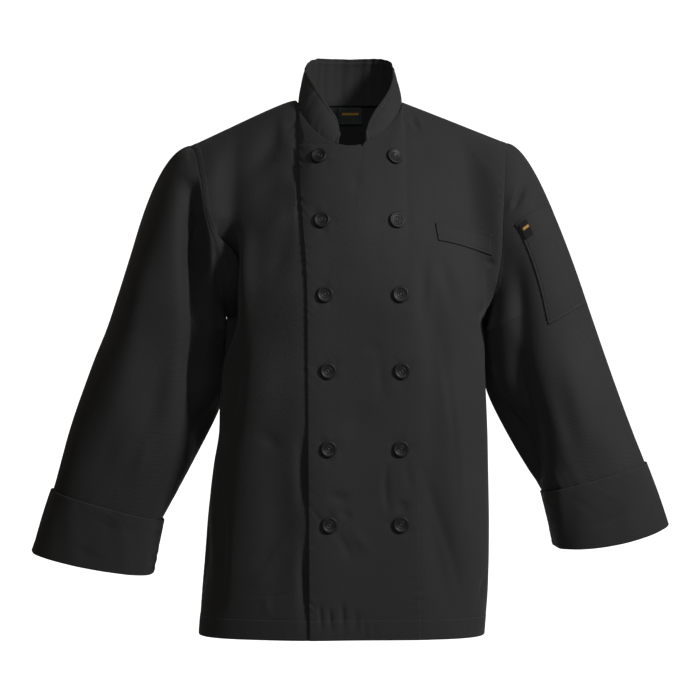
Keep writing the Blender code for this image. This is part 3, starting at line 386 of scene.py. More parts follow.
FINE_SLEEVES = {
    "right": (
        (187, 176, 202, 360, 9.0, -26.0, -3, 0.55),  # the drag fold at the armhole
        (202, 206, 213, 340, 3.5, 7.0, -6, 0.8),     # the tongue beside it, in the light
        (200, 316, 208, 348, 3.0, 3.0, 0, 1.0),
        (219, 316, 213, 348, 3.0, 3.0, 0, 1.0),
        (205, 196, 199, 480, 13.0, -21.0, 0, 1.0),
        (187, 160, 193, 152, 2.0, -1.6, 0, 1.0),
        (150, 236, 118, 420, 10.0, 3.0, 0, 1.0),
        (172, 330, 146, 474, 10.0, -4.0, 4, 1.0),
        (128, 400, 92, 492, 9.0, -2.5, 0, 1.0),
        (160, 410, 128, 500, 6.0, 2.5, 0, 1.0),
    ),
    "left": (
        (529, 180, 510, 214, 2.4, -3.0, 0, 1.0),     # small drag fold on the sleeve's head
        (522, 180, 505, 216, 3.0, 2.0, 0, 1.0),
        (512, 238, 528, 372, 11.0, -10.0, 0, 1.0),
        (497, 300, 537, 545, 26.0, -32.0, 0, 0.9),   # falls away towards the body
        (560, 330, 590, 470, 9.0, 3.0, 0, 1.0),
        (590, 340, 622, 462, 8.0, -3.0, 0, 1.0),
        (545, 380, 572, 480, 7.0, 2.5, 0, 1.0),
    ),
}
FINE_CUFFS = {
    "right": (
        (82, 512, 130, 538, 2.6, -0.9, 0, 1.0),
        (98, 508, 124, 524, 2.2, 0.8, 0, 1.0),
        (60, 536, 118, 566, 4.0, -0.9, 3, 1.0),
        (118, 522, 140, 540, 3.0, -0.8, 0, 1.0),
        (144, 526, 160, 519, 1.4, -1.2, 0, 1.2),     # puckers at the inner seam
        (141, 538, 158, 529, 1.5, -1.3, 0, 1.2),
        (139, 549, 157, 540, 1.5, -1.3, 0, 1.2),
        (142, 560, 156, 551, 1.4, -1.1, 0, 1.2),
        (144, 570, 155, 562, 1.3, -0.9, 0, 1.2),
    ),
    "left": (
        (566, 492, 604, 520, 3.0, -0.8, 0, 1.0),
        (590, 486, 628, 505, 3.0, 0.7, 0, 1.0),
        (572, 530, 640, 512, 4.0, -0.8, 0, 1.0),
        (545, 500, 562, 508, 1.5, -1.2, 0, 0.9),
        (547, 511, 564, 519, 1.5, -1.1, 0, 0.9),
        (549, 523, 563, 530, 1.4, -1.0, 0, 0.9),
    ),
}
# The same on the back, in metres
FINE_BACK = (
    (-0.150, -0.150, -0.095, -0.290, 0.014, -0.0050, 0.008, 1.0),
    (0.1520, -0.160, 0.1000, -0.300, 0.014, -0.0055, -0.008, 1.0),
    (-0.020, -0.020, -0.075, -0.190, 0.016, 0.0030, 0.006, 1.0),
    (0.0260, -0.030, 0.0780, -0.210, 0.018, 0.0030, -0.004, 1.0),
    (-0.165, -0.220, -0.150, -0.360, 0.008, -0.0060, 0.000, 1.0),
    (0.1700, -0.230, 0.1580, -0.350, 0.008, -0.0065, 0.000, 1.0),
    (-0.120, -0.330, -0.150, -0.725, 0.014, -0.0045, 0.006, 1.1),
    (-0.080, -0.360, -0.105, -0.735, 0.012, 0.0035, -0.004, 1.0),
    (0.0300, -0.330, 0.0420, -0.735, 0.013, 0.0035, 0.005, 1.0),
    (0.1200, -0.340, 0.1480, -0.730, 0.015, -0.0045, 0.006, 1.1),
    (-0.030, -0.400, -0.036, -0.735, 0.010, -0.0030, -0.004, 1.0),
    (0.0800, -0.450, 0.0700, -0.735, 0.009, -0.0030, 0.003, 1.0),
    (-0.045, -0.560, -0.120, -0.640, 0.012, 0.0020, 0.000, 1.0),
    (0.0500, -0.060, 0.1200, -0.100, 0.012, -0.0030, 0.000, 1.0),
    (-0.050, -0.060, -0.125, -0.096, 0.012, -0.0030, 0.000, 1.0),
)
BACK_SLEEVE_FINE = {
    "right": (
        (-0.212, -0.160, -0.236, -0.300, 0.010, -0.0070, 0.004, 1.0),
        (-0.280, -0.200, -0.330, -0.470, 0.016, 0.0040, 0.010, 1.0),
        (-0.250, -0.330, -0.330, -0.560, 0.013, -0.0050, 0.008, 1.0),
        (-0.330, -0.380, -0.380, -0.560, 0.012, -0.0035, 0.000, 1.0),
    ),
    "left": (
        (0.210, -0.170, 0.234, -0.310, 0.010, -0.0070, -0.004, 1.0),
        (0.285, -0.190, 0.325, -0.440, 0.016, 0.0040, -0.010, 1.0),
        (0.255, -0.320, 0.320, -0.520, 0.013, -0.0050, -0.008, 1.0),
        (0.330, -0.350, 0.375, -0.520, 0.012, -0.0035, 0.000, 1.0),
    ),
}

# ---- seams and sewing -------------------------------------------------------------------------
ARMHOLE_BAND = 0.008     # felled seam on the body's side of each armhole
BAND_RAISE = 0.0003
BAND_GROOVE = 0.6        # its stitches' groove against GROOVE
BAND_FADE = (-0.23, -0.17)   # heights over which the armholes' bands grow clear, going up
NECK_BAND = 0.0075
HEM_BAND = 0.026
PUCKER = 0.00045         # height of the small puckers along seams
# Puckers at each seam: height against PUCKER, reach from the seam, shortest and longest wave
PUCKERS = {
    "side": (0.7, 0.006, 0.006, 0.016),
    "facing": (1.0, 0.006, 0.006, 0.016),
    "lap_edge": (1.1, 0.007, 0.010, 0.022),
    "sleeve_head": (0.8, 0.007, 0.006, 0.016),
    "cuff_top": (1.2, 0.010, 0.012, 0.030),
    "cuff_start": (0.7, 0.006, 0.006, 0.016),
    "cuff_seam": (1.2, 0.014, 0.006, 0.016),
    "collar_edge": (0.5, 0.007, 0.006, 0.016),
    "collar_seam": (0.9, 0.008, 0.009, 0.020),
    "pocket": (0.8, 0.006, 0.006, 0.016),
}
# First of the random seeds that each piece's puckers draw from
SEEDS = {"front_left": 11, "front_right": 23, "back": 31, "sleeve_left": 41, "sleeve_right": 51,
         "cuff_left": 61, "cuff_right": 71, "collar": 81, "sleeve_pocket": 91}
HEM_STRENGTH = 0.9       # the hem's puckers against PUCKER
WELT_INSET = 0.0022      # stitches inside the welt's ends and lower edge
POCKET_INSET = 0.0020    # the same on the sleeve pocket
POCKET_DIVISION = 0.62   # the stitched line down the sleeve pocket, as a share of its width
TOP_ROLL = {"welt": 0.0008, "pocket": 0.0006}   # how thick their folded top edges stand
TOP_ROLL_REACH = 0.004
GROOVE = 0.0005          # how deep a row of stitches pulls the cloth in
GROOVE_WIDTH = 0.0012
STITCH_PITCH = 0.0030
STITCH_LENGTH = 0.0025
STITCH_RADIUS = 0.00026
COLLAR_STITCH = 0.0058   # row of stitches inside the collar's edge
COLLAR_GROOVE = 1.5      # their groove against GROOVE
COLLAR_RIM = 0.0004      # how far the collar's edge swells outside them
COLLAR_TUCK = 0.05       # share of its height by which the collar runs on down inside the neckline
FACING_STITCH_TOP = -0.50   # the facing's stitches show below here
BUTTON_DIMPLE = 0.0011   # how far a button pulls the cloth in
BUTTON_DIMPLE_REACH = 0.015
BUTTON_PUCKER = 0.0007   # height of the puckers round it
BUTTON_RING = (0.0150, 0.0045)   # their distance from its middle, and how wide they are

# ---- mesh steps -------------------------------------------------------------------------------
FRONT_GRID = (132, 250)
BACK_GRID = (170, 220)
SLEEVE_GRID = (132, 168)
CUFF_GRID = (132, 34)
COLLAR_GRID = (230, 34)
SLEEVE_CROWD = 16.0      # degrees by which the sleeve's columns crowd towards the body side
TURN_RATE = 50.0         # degrees round a sleeve that count as one length along it in slopes
STEP = 1e-4              # step of the numerical slopes


def smoothstep(share):
    """Ease from 0 to 1 as share goes from 0 to 1."""
    share = np.clip(share, 0.0, 1.0)
    return share * share * (3.0 - 2.0 * share)


def spline(table, keys):
    """Read a table's columns at keys, on a smooth curve through its rows."""
    rows = np.array(table)
    knots, values = rows[:, 0], rows[:, 1:]
    slopes = np.gradient(values, knots, axis=0)
    at = np.clip(keys, knots[0], knots[-1])
    cell = np.clip(np.searchsorted(knots, at, side="right") - 1, 0, len(knots) - 2)
    width = (knots[cell + 1] - knots[cell])[..., None]
    share = (at - knots[cell])[..., None] / width
    return hermite(values[cell], width * slopes[cell], values[cell + 1], width * slopes[cell + 1], share)


def hermite(start, leave, end, arrive, share):
    """Cubic from start to end with the given slopes."""
    square = share * share
    cube = square * share
    return ((2 * cube - 3 * square + 1) * start + (cube - 2 * square + share) * leave
            + (3 * square - 2 * cube) * end + (cube - square) * arrive)


def unit(vectors):
    return vectors / np.maximum(np.linalg.norm(vectors, axis=-1, keepdims=True), 1e-12)


def stack(x, y, z):
    return np.stack(np.broadcast_arrays(x, y, z), axis=-1)


def fold_height(folds, x, z):
    """Sum of the soft troughs and ridges at a place seen from the front."""
    height = np.zeros(np.broadcast(x, z).shape)
    for x0, z0, x1, z1, half_width, depth, bow, skew in folds:
        run = np.array((x1 - x0, z1 - z0))
        length = np.hypot(*run)
        run = run / length
        along = ((x - x0) * run[0] + (z - z0) * run[1]) / length
        window = np.clip(along, 0.0, 1.0) ** skew
        aside = (x - x0) * -run[1] + (z - z0) * run[0] - bow * 4.0 * window * (1.0 - window)
        height += depth * np.sin(np.pi * window) ** 2 * np.exp(-(aside / half_width) ** 2)
    return height


def normals(surface, u, v, u_range, v_range, centre):
    """Outward normals of a surface of two parameters; centre gives the points to face away from."""
    u_low, u_high = np.maximum(u - STEP, u_range[0]), np.minimum(u + STEP, u_range[1])
    v_low, v_high = np.maximum(v - STEP, v_range[0]), np.minimum(v + STEP, v_range[1])
    across = surface(u_high, v) - surface(u_low, v)
    along = surface(u, v_high) - surface(u, v_low)
    normal = unit(np.cross(across, along))
    outward = np.sum(normal * (surface(u, v) - centre(u, v)))
    return normal * np.sign(outward)


# ---- torso surfaces ---------------------------------------------------------------------------
def torso_ring(a, z, face):
    """Level section: a runs from -1 at the wearer's right side seam to +1 at the left one."""
    right, left, front, back, power = np.moveaxis(spline(TORSO, z), -1, 0)
    middle, half = (right + left) / 2, (left - right) / 2
    depth = front if face == "front" else back
    angle = a * np.pi / 2
    reach = (np.abs(np.sin(angle) / half) ** power + np.abs(np.cos(angle) / depth) ** power) ** (-1 / power)
    toward = -1.0 if face == "front" else 1.0
    return stack(middle + reach * np.sin(angle), toward * reach * np.cos(angle), z)


def neckline(angle, face):
    """Point on the neck opening, angle in radians from the front or back middle."""
    cosine = np.maximum(np.cos(angle), 0.0)
    x = NECK_HALF * np.sin(angle)
    if face == "front":
        return stack(x, NECK_Y - NECK_FRONT * cosine, NECK_SIDE_Z - NECK_DROP * cosine ** NECK_CURVE)
    return stack(x, NECK_Y + NECK_BACK * cosine, NECK_SIDE_Z + NECK_NAPE * cosine)


def torso_top(a, face):
    """Where column a ends, on the neckline or the shoulder seam, and the slope it arrives with."""
    angle = np.clip(np.abs(a) / NECK_SHARE, 0.0, 1.0) * np.pi / 2
    neck = neckline(angle * np.sign(a), face)
    share = np.clip((np.abs(a) - NECK_SHARE) / (1 - NECK_SHARE), 0.0, 1.0)
    tip_x, tip_z, bow = (np.where(a < 0, *pair) for pair in zip(SHOULDER["right"], SHOULDER["left"]))
    side_x = np.sign(a) * NECK_HALF
    seam = stack(side_x + (tip_x - side_x) * share, NECK_Y,
                 NECK_SIDE_Z + (tip_z - NECK_SIDE_Z) * share
                 + bow * np.sin(np.pi * share ** SHOULDER_BOW_EARLY))
    on_neck = (np.abs(a) < NECK_SHARE)[..., None]
    toward = 1.0 if face == "front" else -1.0
    rise = np.array(FRONT_NECK_RISE if face == "front" else BACK_NECK_RISE) * NECK_ROLL
    roll = np.array(SHOULDER_RISE) * SHOULDER_ROLL * toward
    middle = np.cos(angle)[..., None]
    return np.where(on_neck, neck, seam), middle * rise + (1 - middle) * roll


def armhole(side, face, share):
    return spline(ARMHOLES[(side, face)], share)


def torso_upper(a, share, face):
    """From the underarm level (share 0) to the neckline and shoulders (share 1)."""
    start = torso_ring(a, np.full(np.shape(a), UNDERARM_Z), face)
    below = torso_ring(a, np.full(np.shape(a), UNDERARM_Z - STEP), face)
    end, arrive = torso_top(a, face)
    leave = (start - below) / STEP * (end - start)[..., 2:3]
    return hermite(start, leave, end, arrive, share[..., None])


def torso_plain(a, t, face):
    """Unfolded cloth: t runs from 0 at the hem through 1 at the underarm to 2 at the top."""
    a, t = np.broadcast_arrays(np.asarray(a, float), np.asarray(t, float))
    hem_z = HEM_Z - HEM_SIDE_DROP * np.abs(a) ** 3
    low = torso_ring(a, hem_z + (UNDERARM_Z - hem_z) * np.clip(t, 0.0, 1.0), face)
    share = np.clip(t - 1.0, 0.0, 1.0)
    high = torso_upper(a, share, face)
    for side, sign in (("right", -1.0), ("left", 1.0)):
        pull = smoothstep((sign * a - ARMHOLE_REACH) / (1 - ARMHOLE_REACH))[..., None]
        edge = torso_upper(np.full(a.shape, sign), share, face)
        high = high + pull * (armhole(side, face, share) - edge)
    return np.where((t > 1.0)[..., None], high, low)


def torso_centre(a, t, face):
    point = torso_plain(a, t, face)
    return stack(0.0 * point[..., 0], NECK_Y, point[..., 2] - 0.05)


def torso_lift(a, t, face, lift):
    """Unfolded cloth moved out along its normal by lift."""
    normal = normals(lambda u, v: torso_plain(u, v, face), a, t, (-1.0, 1.0), (0.0, 2.0),
                     lambda u, v: torso_centre(u, v, face))
    return torso_plain(a, t, face) + normal * lift[..., None]


def edge_fade(a, t):
    """Folds die out at the side seams, armholes, neck and shoulders, where pieces are sewn."""
    return smoothstep((1.0 - np.abs(a)) / PANEL_FADE["side"]) * smoothstep((2.0 - t) / PANEL_FADE["top"])


def fine_fade(a, t):
    """Fine folds run closer to the seams than the large ones."""
    return (smoothstep((1.0 - np.abs(a)) / FINE_PANEL_FADE["side"])
            * smoothstep((2.0 - t) / FINE_PANEL_FADE["top"]))


def seen(point):
    """Where points show in the photograph, in its pixels."""
    scale = CAMERA_DISTANCE / (CAMERA_DISTANCE + point[..., 1]) / PIXEL
    middle = FRAME_PIXELS / 2
    return middle + point[..., 0] * scale, middle - (point[..., 2] - CAMERA_HEIGHT) * scale


def front_surface(a, t, upper):
    """Front cloth with its folds; the upper lap rides over the lower one."""
    a, t = np.broadcast_arrays(np.asarray(a, float), np.asarray(t, float))
    plain = torso_plain(a, t, "front")
    x, z = plain[..., 0], plain[..., 2]
    folds = TORSO_FOLDS if upper else TORSO_FOLDS + LOWER_LAP_FOLDS
    fine = FINE_UPPER if upper else FINE_LOWER
    upper_edge, under_edge = np.moveaxis(spline(LAPS, z), -1, 0)
    below_neck = smoothstep((LAP_FADE[0] - z) / (LAP_FADE[0] - LAP_FADE[1]))
    detail = fold_height(fine, *seen(plain))
    if not upper:
        covered = smoothstep((x - upper_edge) / COVER_WIDTH + 0.5) * below_neck
        detail = detail * (1.0 - covered) + fold_height(FINE_UPPER, *seen(plain)) * covered
    lift = fold_height(folds, x, z) * edge_fade(a, t) + MILLIMETRE * detail * fine_fade(a, t)
    if upper:
        lift = lift + LAP_RAISE * below_neck * (1.0 - smoothstep((x - under_edge) / LAP_RAMP))
    else:
        lift = lift - LAP_SINK * below_neck * smoothstep((x - upper_edge) / LAP_SINK_START + 1.0)
    return torso_lift(a, t, "front", lift)


def back_surface(a, t):
    a, t = np.broadcast_arrays(np.asarray(a, float), np.asarray(t, float))
    plain = torso_plain(a, t, "back")
    lift = fold_height(BACK_FOLDS, plain[..., 0], plain[..., 2]) * edge_fade(a, t)
    lift = lift + fold_height(FINE_BACK, plain[..., 0], plain[..., 2]) * fine_fade(a, t)
    return torso_lift(a, t, "back", lift)


def solve(miss, low, high, rounds=40):
    """Bisect a growing function, on arrays."""
    for _ in range(rounds):
        middle = (low + high) / 2
        over = miss(middle) > 0
        low, high = np.where(over, low, middle), np.where(over, middle, high)
    return (low + high) / 2


def lap_column(t, which):
    """Value of a where a front's free edge runs; which is 0 for the upper lap, 1 for the lower."""
    def miss(a):
        point = torso_plain(a, t, "front")
        return point[..., 0] - spline(LAPS, point[..., 2])[..., which]
    return solve(miss, np.full(t.shape, -0.9), np.full(t.shape, 0.9))


# ---- sleeve surfaces --------------------------------------------------------------------------
def sleeve_ring(side, angle, place):
    """Section of the sleeve or cuff; angle in degrees from the body side through the front."""
    section = spline(SLEEVES[side], np.minimum(place, 2.0))
    down_cuff = np.clip(place - 2.0, 0.0, 1.0)[..., None]
    section = section + (np.array(CUFF_ENDS[side]) - SLEEVES[side][-1][1:]) * down_cuff
    inner_x, inner_z, outer_x, outer_z, middle_y, front, back, dip = np.moveaxis(section, -1, 0)
    turn = np.radians(angle)
    cosine, sine = np.cos(turn), np.sin(turn)
    depth = np.where(sine > 0, front, back)
    reach = (np.abs(cosine) ** SLEEVE_BOX + np.abs(sine) ** SLEEVE_BOX) ** (-1 / SLEEVE_BOX)
    across = (1.0 - reach * cosine) / 2
    return stack(inner_x + (outer_x - inner_x) * across, middle_y - depth * reach * sine,
                 inner_z + (outer_z - inner_z) * across - dip * sine * sine)


def sleeve_plain(side, angle, place):
    """place 0 is the armhole seam, 1 the underarm section, 2 the cuff's top, 3 its bottom."""
    angle, place = np.broadcast_arrays(np.asarray(angle, float), np.asarray(place, float))
    angle = angle % 360.0
    on_front = (angle <= 180.0)[..., None]
    rise = np.where(angle <= 180.0, angle, 360.0 - angle)
    start = np.where(on_front, armhole(side, "front", rise / 180.0), armhole(side, "back", rise / 180.0))
    sign = -1.0 if side == "right" else 1.0
    start = start + np.array((sign * ARMHOLE_GAP, 0.0, 0.0))
    first = np.full(angle.shape, 1.0)
    end = sleeve_ring(side, angle, first)
    onward = unit(sleeve_ring(side, angle, first + 0.1) - end)
    pulls = spline(SLEEVE_START[side], rise)
    outward = pulls[..., :3] * np.where(on_front, (sign, 1.0, 1.0), (sign, -1.0, 1.0))
    length = np.linalg.norm(end - start, axis=-1, keepdims=True)
    cap = hermite(start, outward * length, end, onward * length * pulls[..., 3:],
                  np.clip(place, 0.0, 1.0)[..., None])
    return np.where((place < 1.0)[..., None], cap, sleeve_ring(side, angle, np.maximum(place, 1.0)))


def sleeve_centre(side, angle, place):
    """Middle of the sleeve at each place, which its normals face away from."""
    turns = np.arange(0.0, 360.0, 30.0)
    return sum(sleeve_plain(side, turn + 0.0 * angle, place) for turn in turns) / len(turns)


def sleeve_normal(surface, side, angle, place, last):
    """Outward normals of a sleeve or cuff surface that runs on to the place called last."""
    return normals(lambda u, v: surface(u * TURN_RATE, v), angle / TURN_RATE, place,
                   (-np.inf, np.inf), (0.0, last), lambda u, v: sleeve_centre(side, u * TURN_RATE, v))


def sleeve_surface(side, angle, place, last=3.0):
    """Sleeve cloth with its folds, which die out at the armhole and the cuff."""
    angle, place = np.broadcast_arrays(np.asarray(angle, float), np.asarray(place, float))
    plain = sleeve_plain(side, angle, place)
    x, z = plain[..., 0], plain[..., 2]
    start, width = FRONT_FACING
    faces_front = smoothstep((np.sin(np.radians(angle)) - start) / width)
    faces_back = smoothstep((-np.sin(np.radians(angle)) - start) / width)
    fade = smoothstep(place / SLEEVE_FADE["armhole"]) * smoothstep((2.0 - place) / SLEEVE_FADE["cuff"])
    fine = MILLIMETRE * fold_height(FINE_SLEEVES[side], *seen(plain))
    soon = (smoothstep(place / FINE_SLEEVE_FADE["armhole"])
            * smoothstep((2.0 - place) / FINE_SLEEVE_FADE["cuff"]))
    lift = (fade * (faces_front * fold_height(SLEEVE_FOLDS[side], x, z)
                    + faces_back * fold_height(SLEEVE_BACK_FOLDS[side] + BACK_SLEEVE_FINE[side], x, z))
            + soon * faces_front * fine)
    normal = sleeve_normal(lambda u, v: sleeve_plain(side, u, v), side, angle, place, last)
    return plain + normal * lift[..., None]


# ---- collar surface ---------------------------------------------------------------------------
def collar_surface(round_share, up):
    """Collar: round_share 0 at the wearer's right end, 1 at the left end; up 0 at the seam."""
    round_share, up = np.broadcast_arrays(np.asarray(round_share, float), np.asarray(up, float))
    right_end, left_end = COLLARS["right"][0][0], COLLARS["left"][0][0]
    turned = right_end + round_share * (360.0 - right_end - left_end)
    on_right = turned <= 180.0
    angle = np.where(on_right, turned, 360.0 - turned)
    rise, pull = np.moveaxis(np.where(on_right[..., None], spline(COLLARS["right"], angle),
                                      spline(COLLARS["left"], angle)), -1, 0)
    sign = np.where(on_right, -1.0, 1.0)
    in_front = (angle <= 90.0)[..., None]
    front = neckline(np.radians(np.minimum(angle, 90.0)) * sign, "front")
    back = neckline(np.radians(np.minimum(180.0 - angle, 90.0)) * sign, "back")
    edge = np.where(in_front, front, back)
    base = edge * np.array((COLLAR_INSET, COLLAR_INSET, 1.0)) + np.array((0.0, 0.0, COLLAR_GAP))
    top = edge * stack(pull, pull, 1.0) + stack(0.0, 0.0, rise)
    point = base + (top - base) * up[..., None]
    swell = COLLAR_SWELL * 4.0 * up * (1.0 - up)
    away = unit(base * np.array((1.0, 1.0, 0.0)))
    return point + away * swell[..., None]


def locate(surface, x, z, a, t):
    """Parameters at which a front surface shows x and z, by Newton steps from a, t."""
    for _ in range(12):
        a, t = np.clip(a, -0.995, 0.995), np.clip(t, 0.005, 1.995)
        here = surface(a, t)
        by_a = (surface(a + STEP, t) - here) / STEP
        by_t = (surface(a, t + STEP) - here) / STEP
        miss_x, miss_z = x - here[..., 0], z - here[..., 2]
        spread = by_a[..., 0] * by_t[..., 2] - by_t[..., 0] * by_a[..., 2]
        a = a + (miss_x * by_t[..., 2] - miss_z * by_t[..., 0]) / spread
        t = t + (miss_z * by_a[..., 0] - miss_x * by_a[..., 2]) / spread
    return a, t


def front_spot(x, z):
    """Point and normal of the upper front at x, z seen from the front."""
    def surface(u, v):
        return front_surface(u, v, True)

    x, z = np.asarray(x, float), np.asarray(z, float)
    a, t = locate(surface, x, z, x / 0.2, 2.0 + z / 0.3)
    normal = normals(surface, a, t, (-1.0, 1.0), (0.0, 2.0), lambda u, v: torso_centre(u, v, "front"))
    return surface(a, t), normal


def pocket_spot(across, down):
    """Point and normal of the wearer's left sleeve under the pen pocket."""
    (a0, p0), (a1, p1) = POCKET["top"]
    (a2, p2), (a3, p3) = POCKET["low"]
    bow = POCKET_BOW[0] + (POCKET_BOW[1] - POCKET_BOW[0]) * across
    angle = (a0 + (a1 - a0) * across) * (1 - down) + (a2 + (a3 - a2) * across) * down
    angle = angle - bow * 4.0 * down * (1.0 - down)
    place = (p0 + (p1 - p0) * across) * (1 - down) + (p2 + (p3 - p2) * across) * down

    def surface(u, v):
        return sleeve_surface("left", u, v)

    return surface(angle, place), sleeve_normal(surface, "left", angle, place, 3.0)


# ---- grids ------------------------------------------------------------------------------------
def crowd(count, strength):
    """Shares from 0 to 1, closer together near both ends."""
    share = np.linspace(0.0, 1.0, count)
    return share - strength * np.sin(2 * np.pi * share) / (2 * np.pi)


def slopes(points, closed):
    """Change of the points from column to column and from row to row."""
    if closed:
        across = (np.roll(points, -1, axis=1) - np.roll(points, 1, axis=1)) / 2
    else:
        across = np.gradient(points, axis=1)
    return across, np.gradient(points, axis=0)


def grid_normals(points, inside, closed=False):
    """Normals of a grid of points, facing away from the points in inside."""
    across, along = slopes(points, closed)
    normal = unit(np.cross(across, along))
    return normal * np.sign(np.sum(normal * (points - inside)))


def run_lengths(points):
    """Distance of each point from the first column along its row, and from the first row."""
    across = np.linalg.norm(np.diff(points, axis=1), axis=-1)
    along = np.linalg.norm(np.diff(points, axis=0), axis=-1)
    return (np.pad(np.cumsum(across, axis=1), ((0, 0), (1, 0))),
            np.pad(np.cumsum(along, axis=0), ((1, 0), (0, 0))))


def pucker(along, seed, shortest=0.006, longest=0.016):
    """Uneven small waves along a seam, from -1 to 1 or so."""
    draw = np.random.default_rng(seed)
    total = np.zeros(np.shape(along))
    for length in np.linspace(shortest, longest, 5):
        total = total + np.sin(2 * np.pi * along / length + draw.uniform(0, 2 * np.pi)) / 2.4
    patch = 0.6 + 0.4 * np.sin(2 * np.pi * along / draw.uniform(0.07, 0.13) + draw.uniform(0, 2 * np.pi))
    return total * patch


def seam_puckers(seam, along, seed, distance, share=1.0):
    """Height of a seam's puckers, which die out at a distance from it."""
    height, reach, shortest, longest = PUCKERS[seam]
    return (share * height * PUCKER * pucker(along, seed, shortest, longest)
            * np.exp(-(distance / reach) ** 2))


def band(distance, width):
    """1 inside a folded band of that width, easing to 0 just past it."""
    return 1.0 - smoothstep((distance - width) / 0.0012)


def groove(distance):
    return -GROOVE * np.exp(-(distance / GROOVE_WIDTH) ** 2)


def sewn_band(distance, along, width, seed, strength=1.0):
    """Raised seam band along an edge with its row of stitches and the puckers between."""
    middle = np.exp(-((distance - width / 2) / (width * 0.5)) ** 2)
    return (BAND_RAISE * band(distance, width) + BAND_GROOVE * groove(distance - width)
            + strength * PUCKER * pucker(along, seed) * middle)


# ---- meshes -----------------------------------------------------------------------------------
def make_mesh(name, points, quads, uvs=None, smooth_angle=50.0):
    """Object from numpy points and quads (or triangles), with a weave map in metres."""
    mesh = bpy.data.meshes.new(name)
    corners = quads.shape[1]
    mesh.vertices.add(len(points))
    mesh.vertices.foreach_set("co", points.astype(np.float32).ravel())
    mesh.loops.add(quads.size)
    mesh.loops.foreach_set("vertex_index", quads.astype(np.int32).ravel())
    mesh.polygons.add(len(quads))
    mesh.polygons.foreach_set("loop_start", np.arange(0, quads.size, corners, dtype=np.int32))
    mesh.update(calc_edges=True)
    if uvs is not None:
        layer = mesh.uv_layers.new(name="weave")
        layer.data.foreach_set("uv", uvs[quads.ravel()].astype(np.float32).ravel())
    mesh.validate()
    mesh.shade_smooth()
    if smooth_angle:
        mesh.set_sharp_from_angle(angle=np.radians(smooth_angle))
    made = bpy.data.objects.new(name, mesh)
    bpy.context.scene.collection.objects.link(made)
    return made


def grid_quads(rows, columns, closed, offset=0):
    """Quads of a grid whose points are numbered row by row."""
    last = columns if closed else columns - 1
    row, column = np.meshgrid(np.arange(rows - 1), np.arange(last), indexing="ij")
    following = (column + 1) % columns
    quads = np.stack((row * columns + column, row * columns + following,
                      (row + 1) * columns + following, (row + 1) * columns + column), axis=-1)
    return quads.reshape(-1, 4) + offset


def edge_strip(outer, inner, lip):
    """Quads over a free edge: outer points, a line of lip points and inner points."""
    first = np.stack((outer[:-1], outer[1:], lip[1:], lip[:-1]), axis=-1)
    second = np.stack((lip[:-1], lip[1:], inner[1:], inner[:-1]), axis=-1)
    return np.concatenate((first, second))


def shell(name, outer, normal, thickness, closed=False):
    """Cloth of the given thickness behind a grid of outer points, with rounded free edges."""
    rows, columns = outer.shape[:2]
    inner = outer - normal * thickness
    across, along = slopes(outer, closed)
    around, up = run_lengths(outer)
    flat = np.stack((around, up), axis=-1).reshape(-1, 2)
    points = [outer.reshape(-1, 3), inner.reshape(-1, 3)]
    uvs = [flat, flat]
    count = rows * columns
    number = np.arange(count).reshape(rows, columns)
    quads = [grid_quads(rows, columns, closed), grid_quads(rows, columns, closed, count)[:, ::-1]]
    total = 2 * count

    def add_edge(line, away, turn):
        nonlocal total
        index = line.ravel()
        ring = (points[0][index] + points[1][index]) / 2 + unit(away.reshape(-1, 3)) * thickness * 0.45
        lip = total + np.arange(len(index))
        points.append(ring)
        uvs.append(flat[index])
        total += len(index)
        ends = index, index + count, lip
        if closed:
            ends = tuple(np.append(end, end[0]) for end in ends)
        strip = edge_strip(*ends)
        quads.append(strip[:, ::-1] if turn else strip)

    add_edge(number[0], -along[0], True)
    add_edge(number[-1], along[-1], False)
    if not closed:
        add_edge(number[:, 0], -across[:, 0], False)
        add_edge(number[:, -1], across[:, -1], True)
    made = make_mesh(name, np.concatenate(points), np.concatenate(quads), np.concatenate(uvs))
    face_out(made, outer, normal)
    return made


def face_out(made, outer, normal):
    """Turn the faces round if the outer grid's first face looks inward."""
    mesh = made.data
    first = mesh.polygons[len(mesh.polygons) // 4]
    spot = np.array(first.center)
    near = np.argmin(np.sum((outer.reshape(-1, 3) - spot) ** 2, axis=1))
    if np.dot(np.array(first.normal), normal.reshape(-1, 3)[near]) < 0:
        mesh.flip_normals()


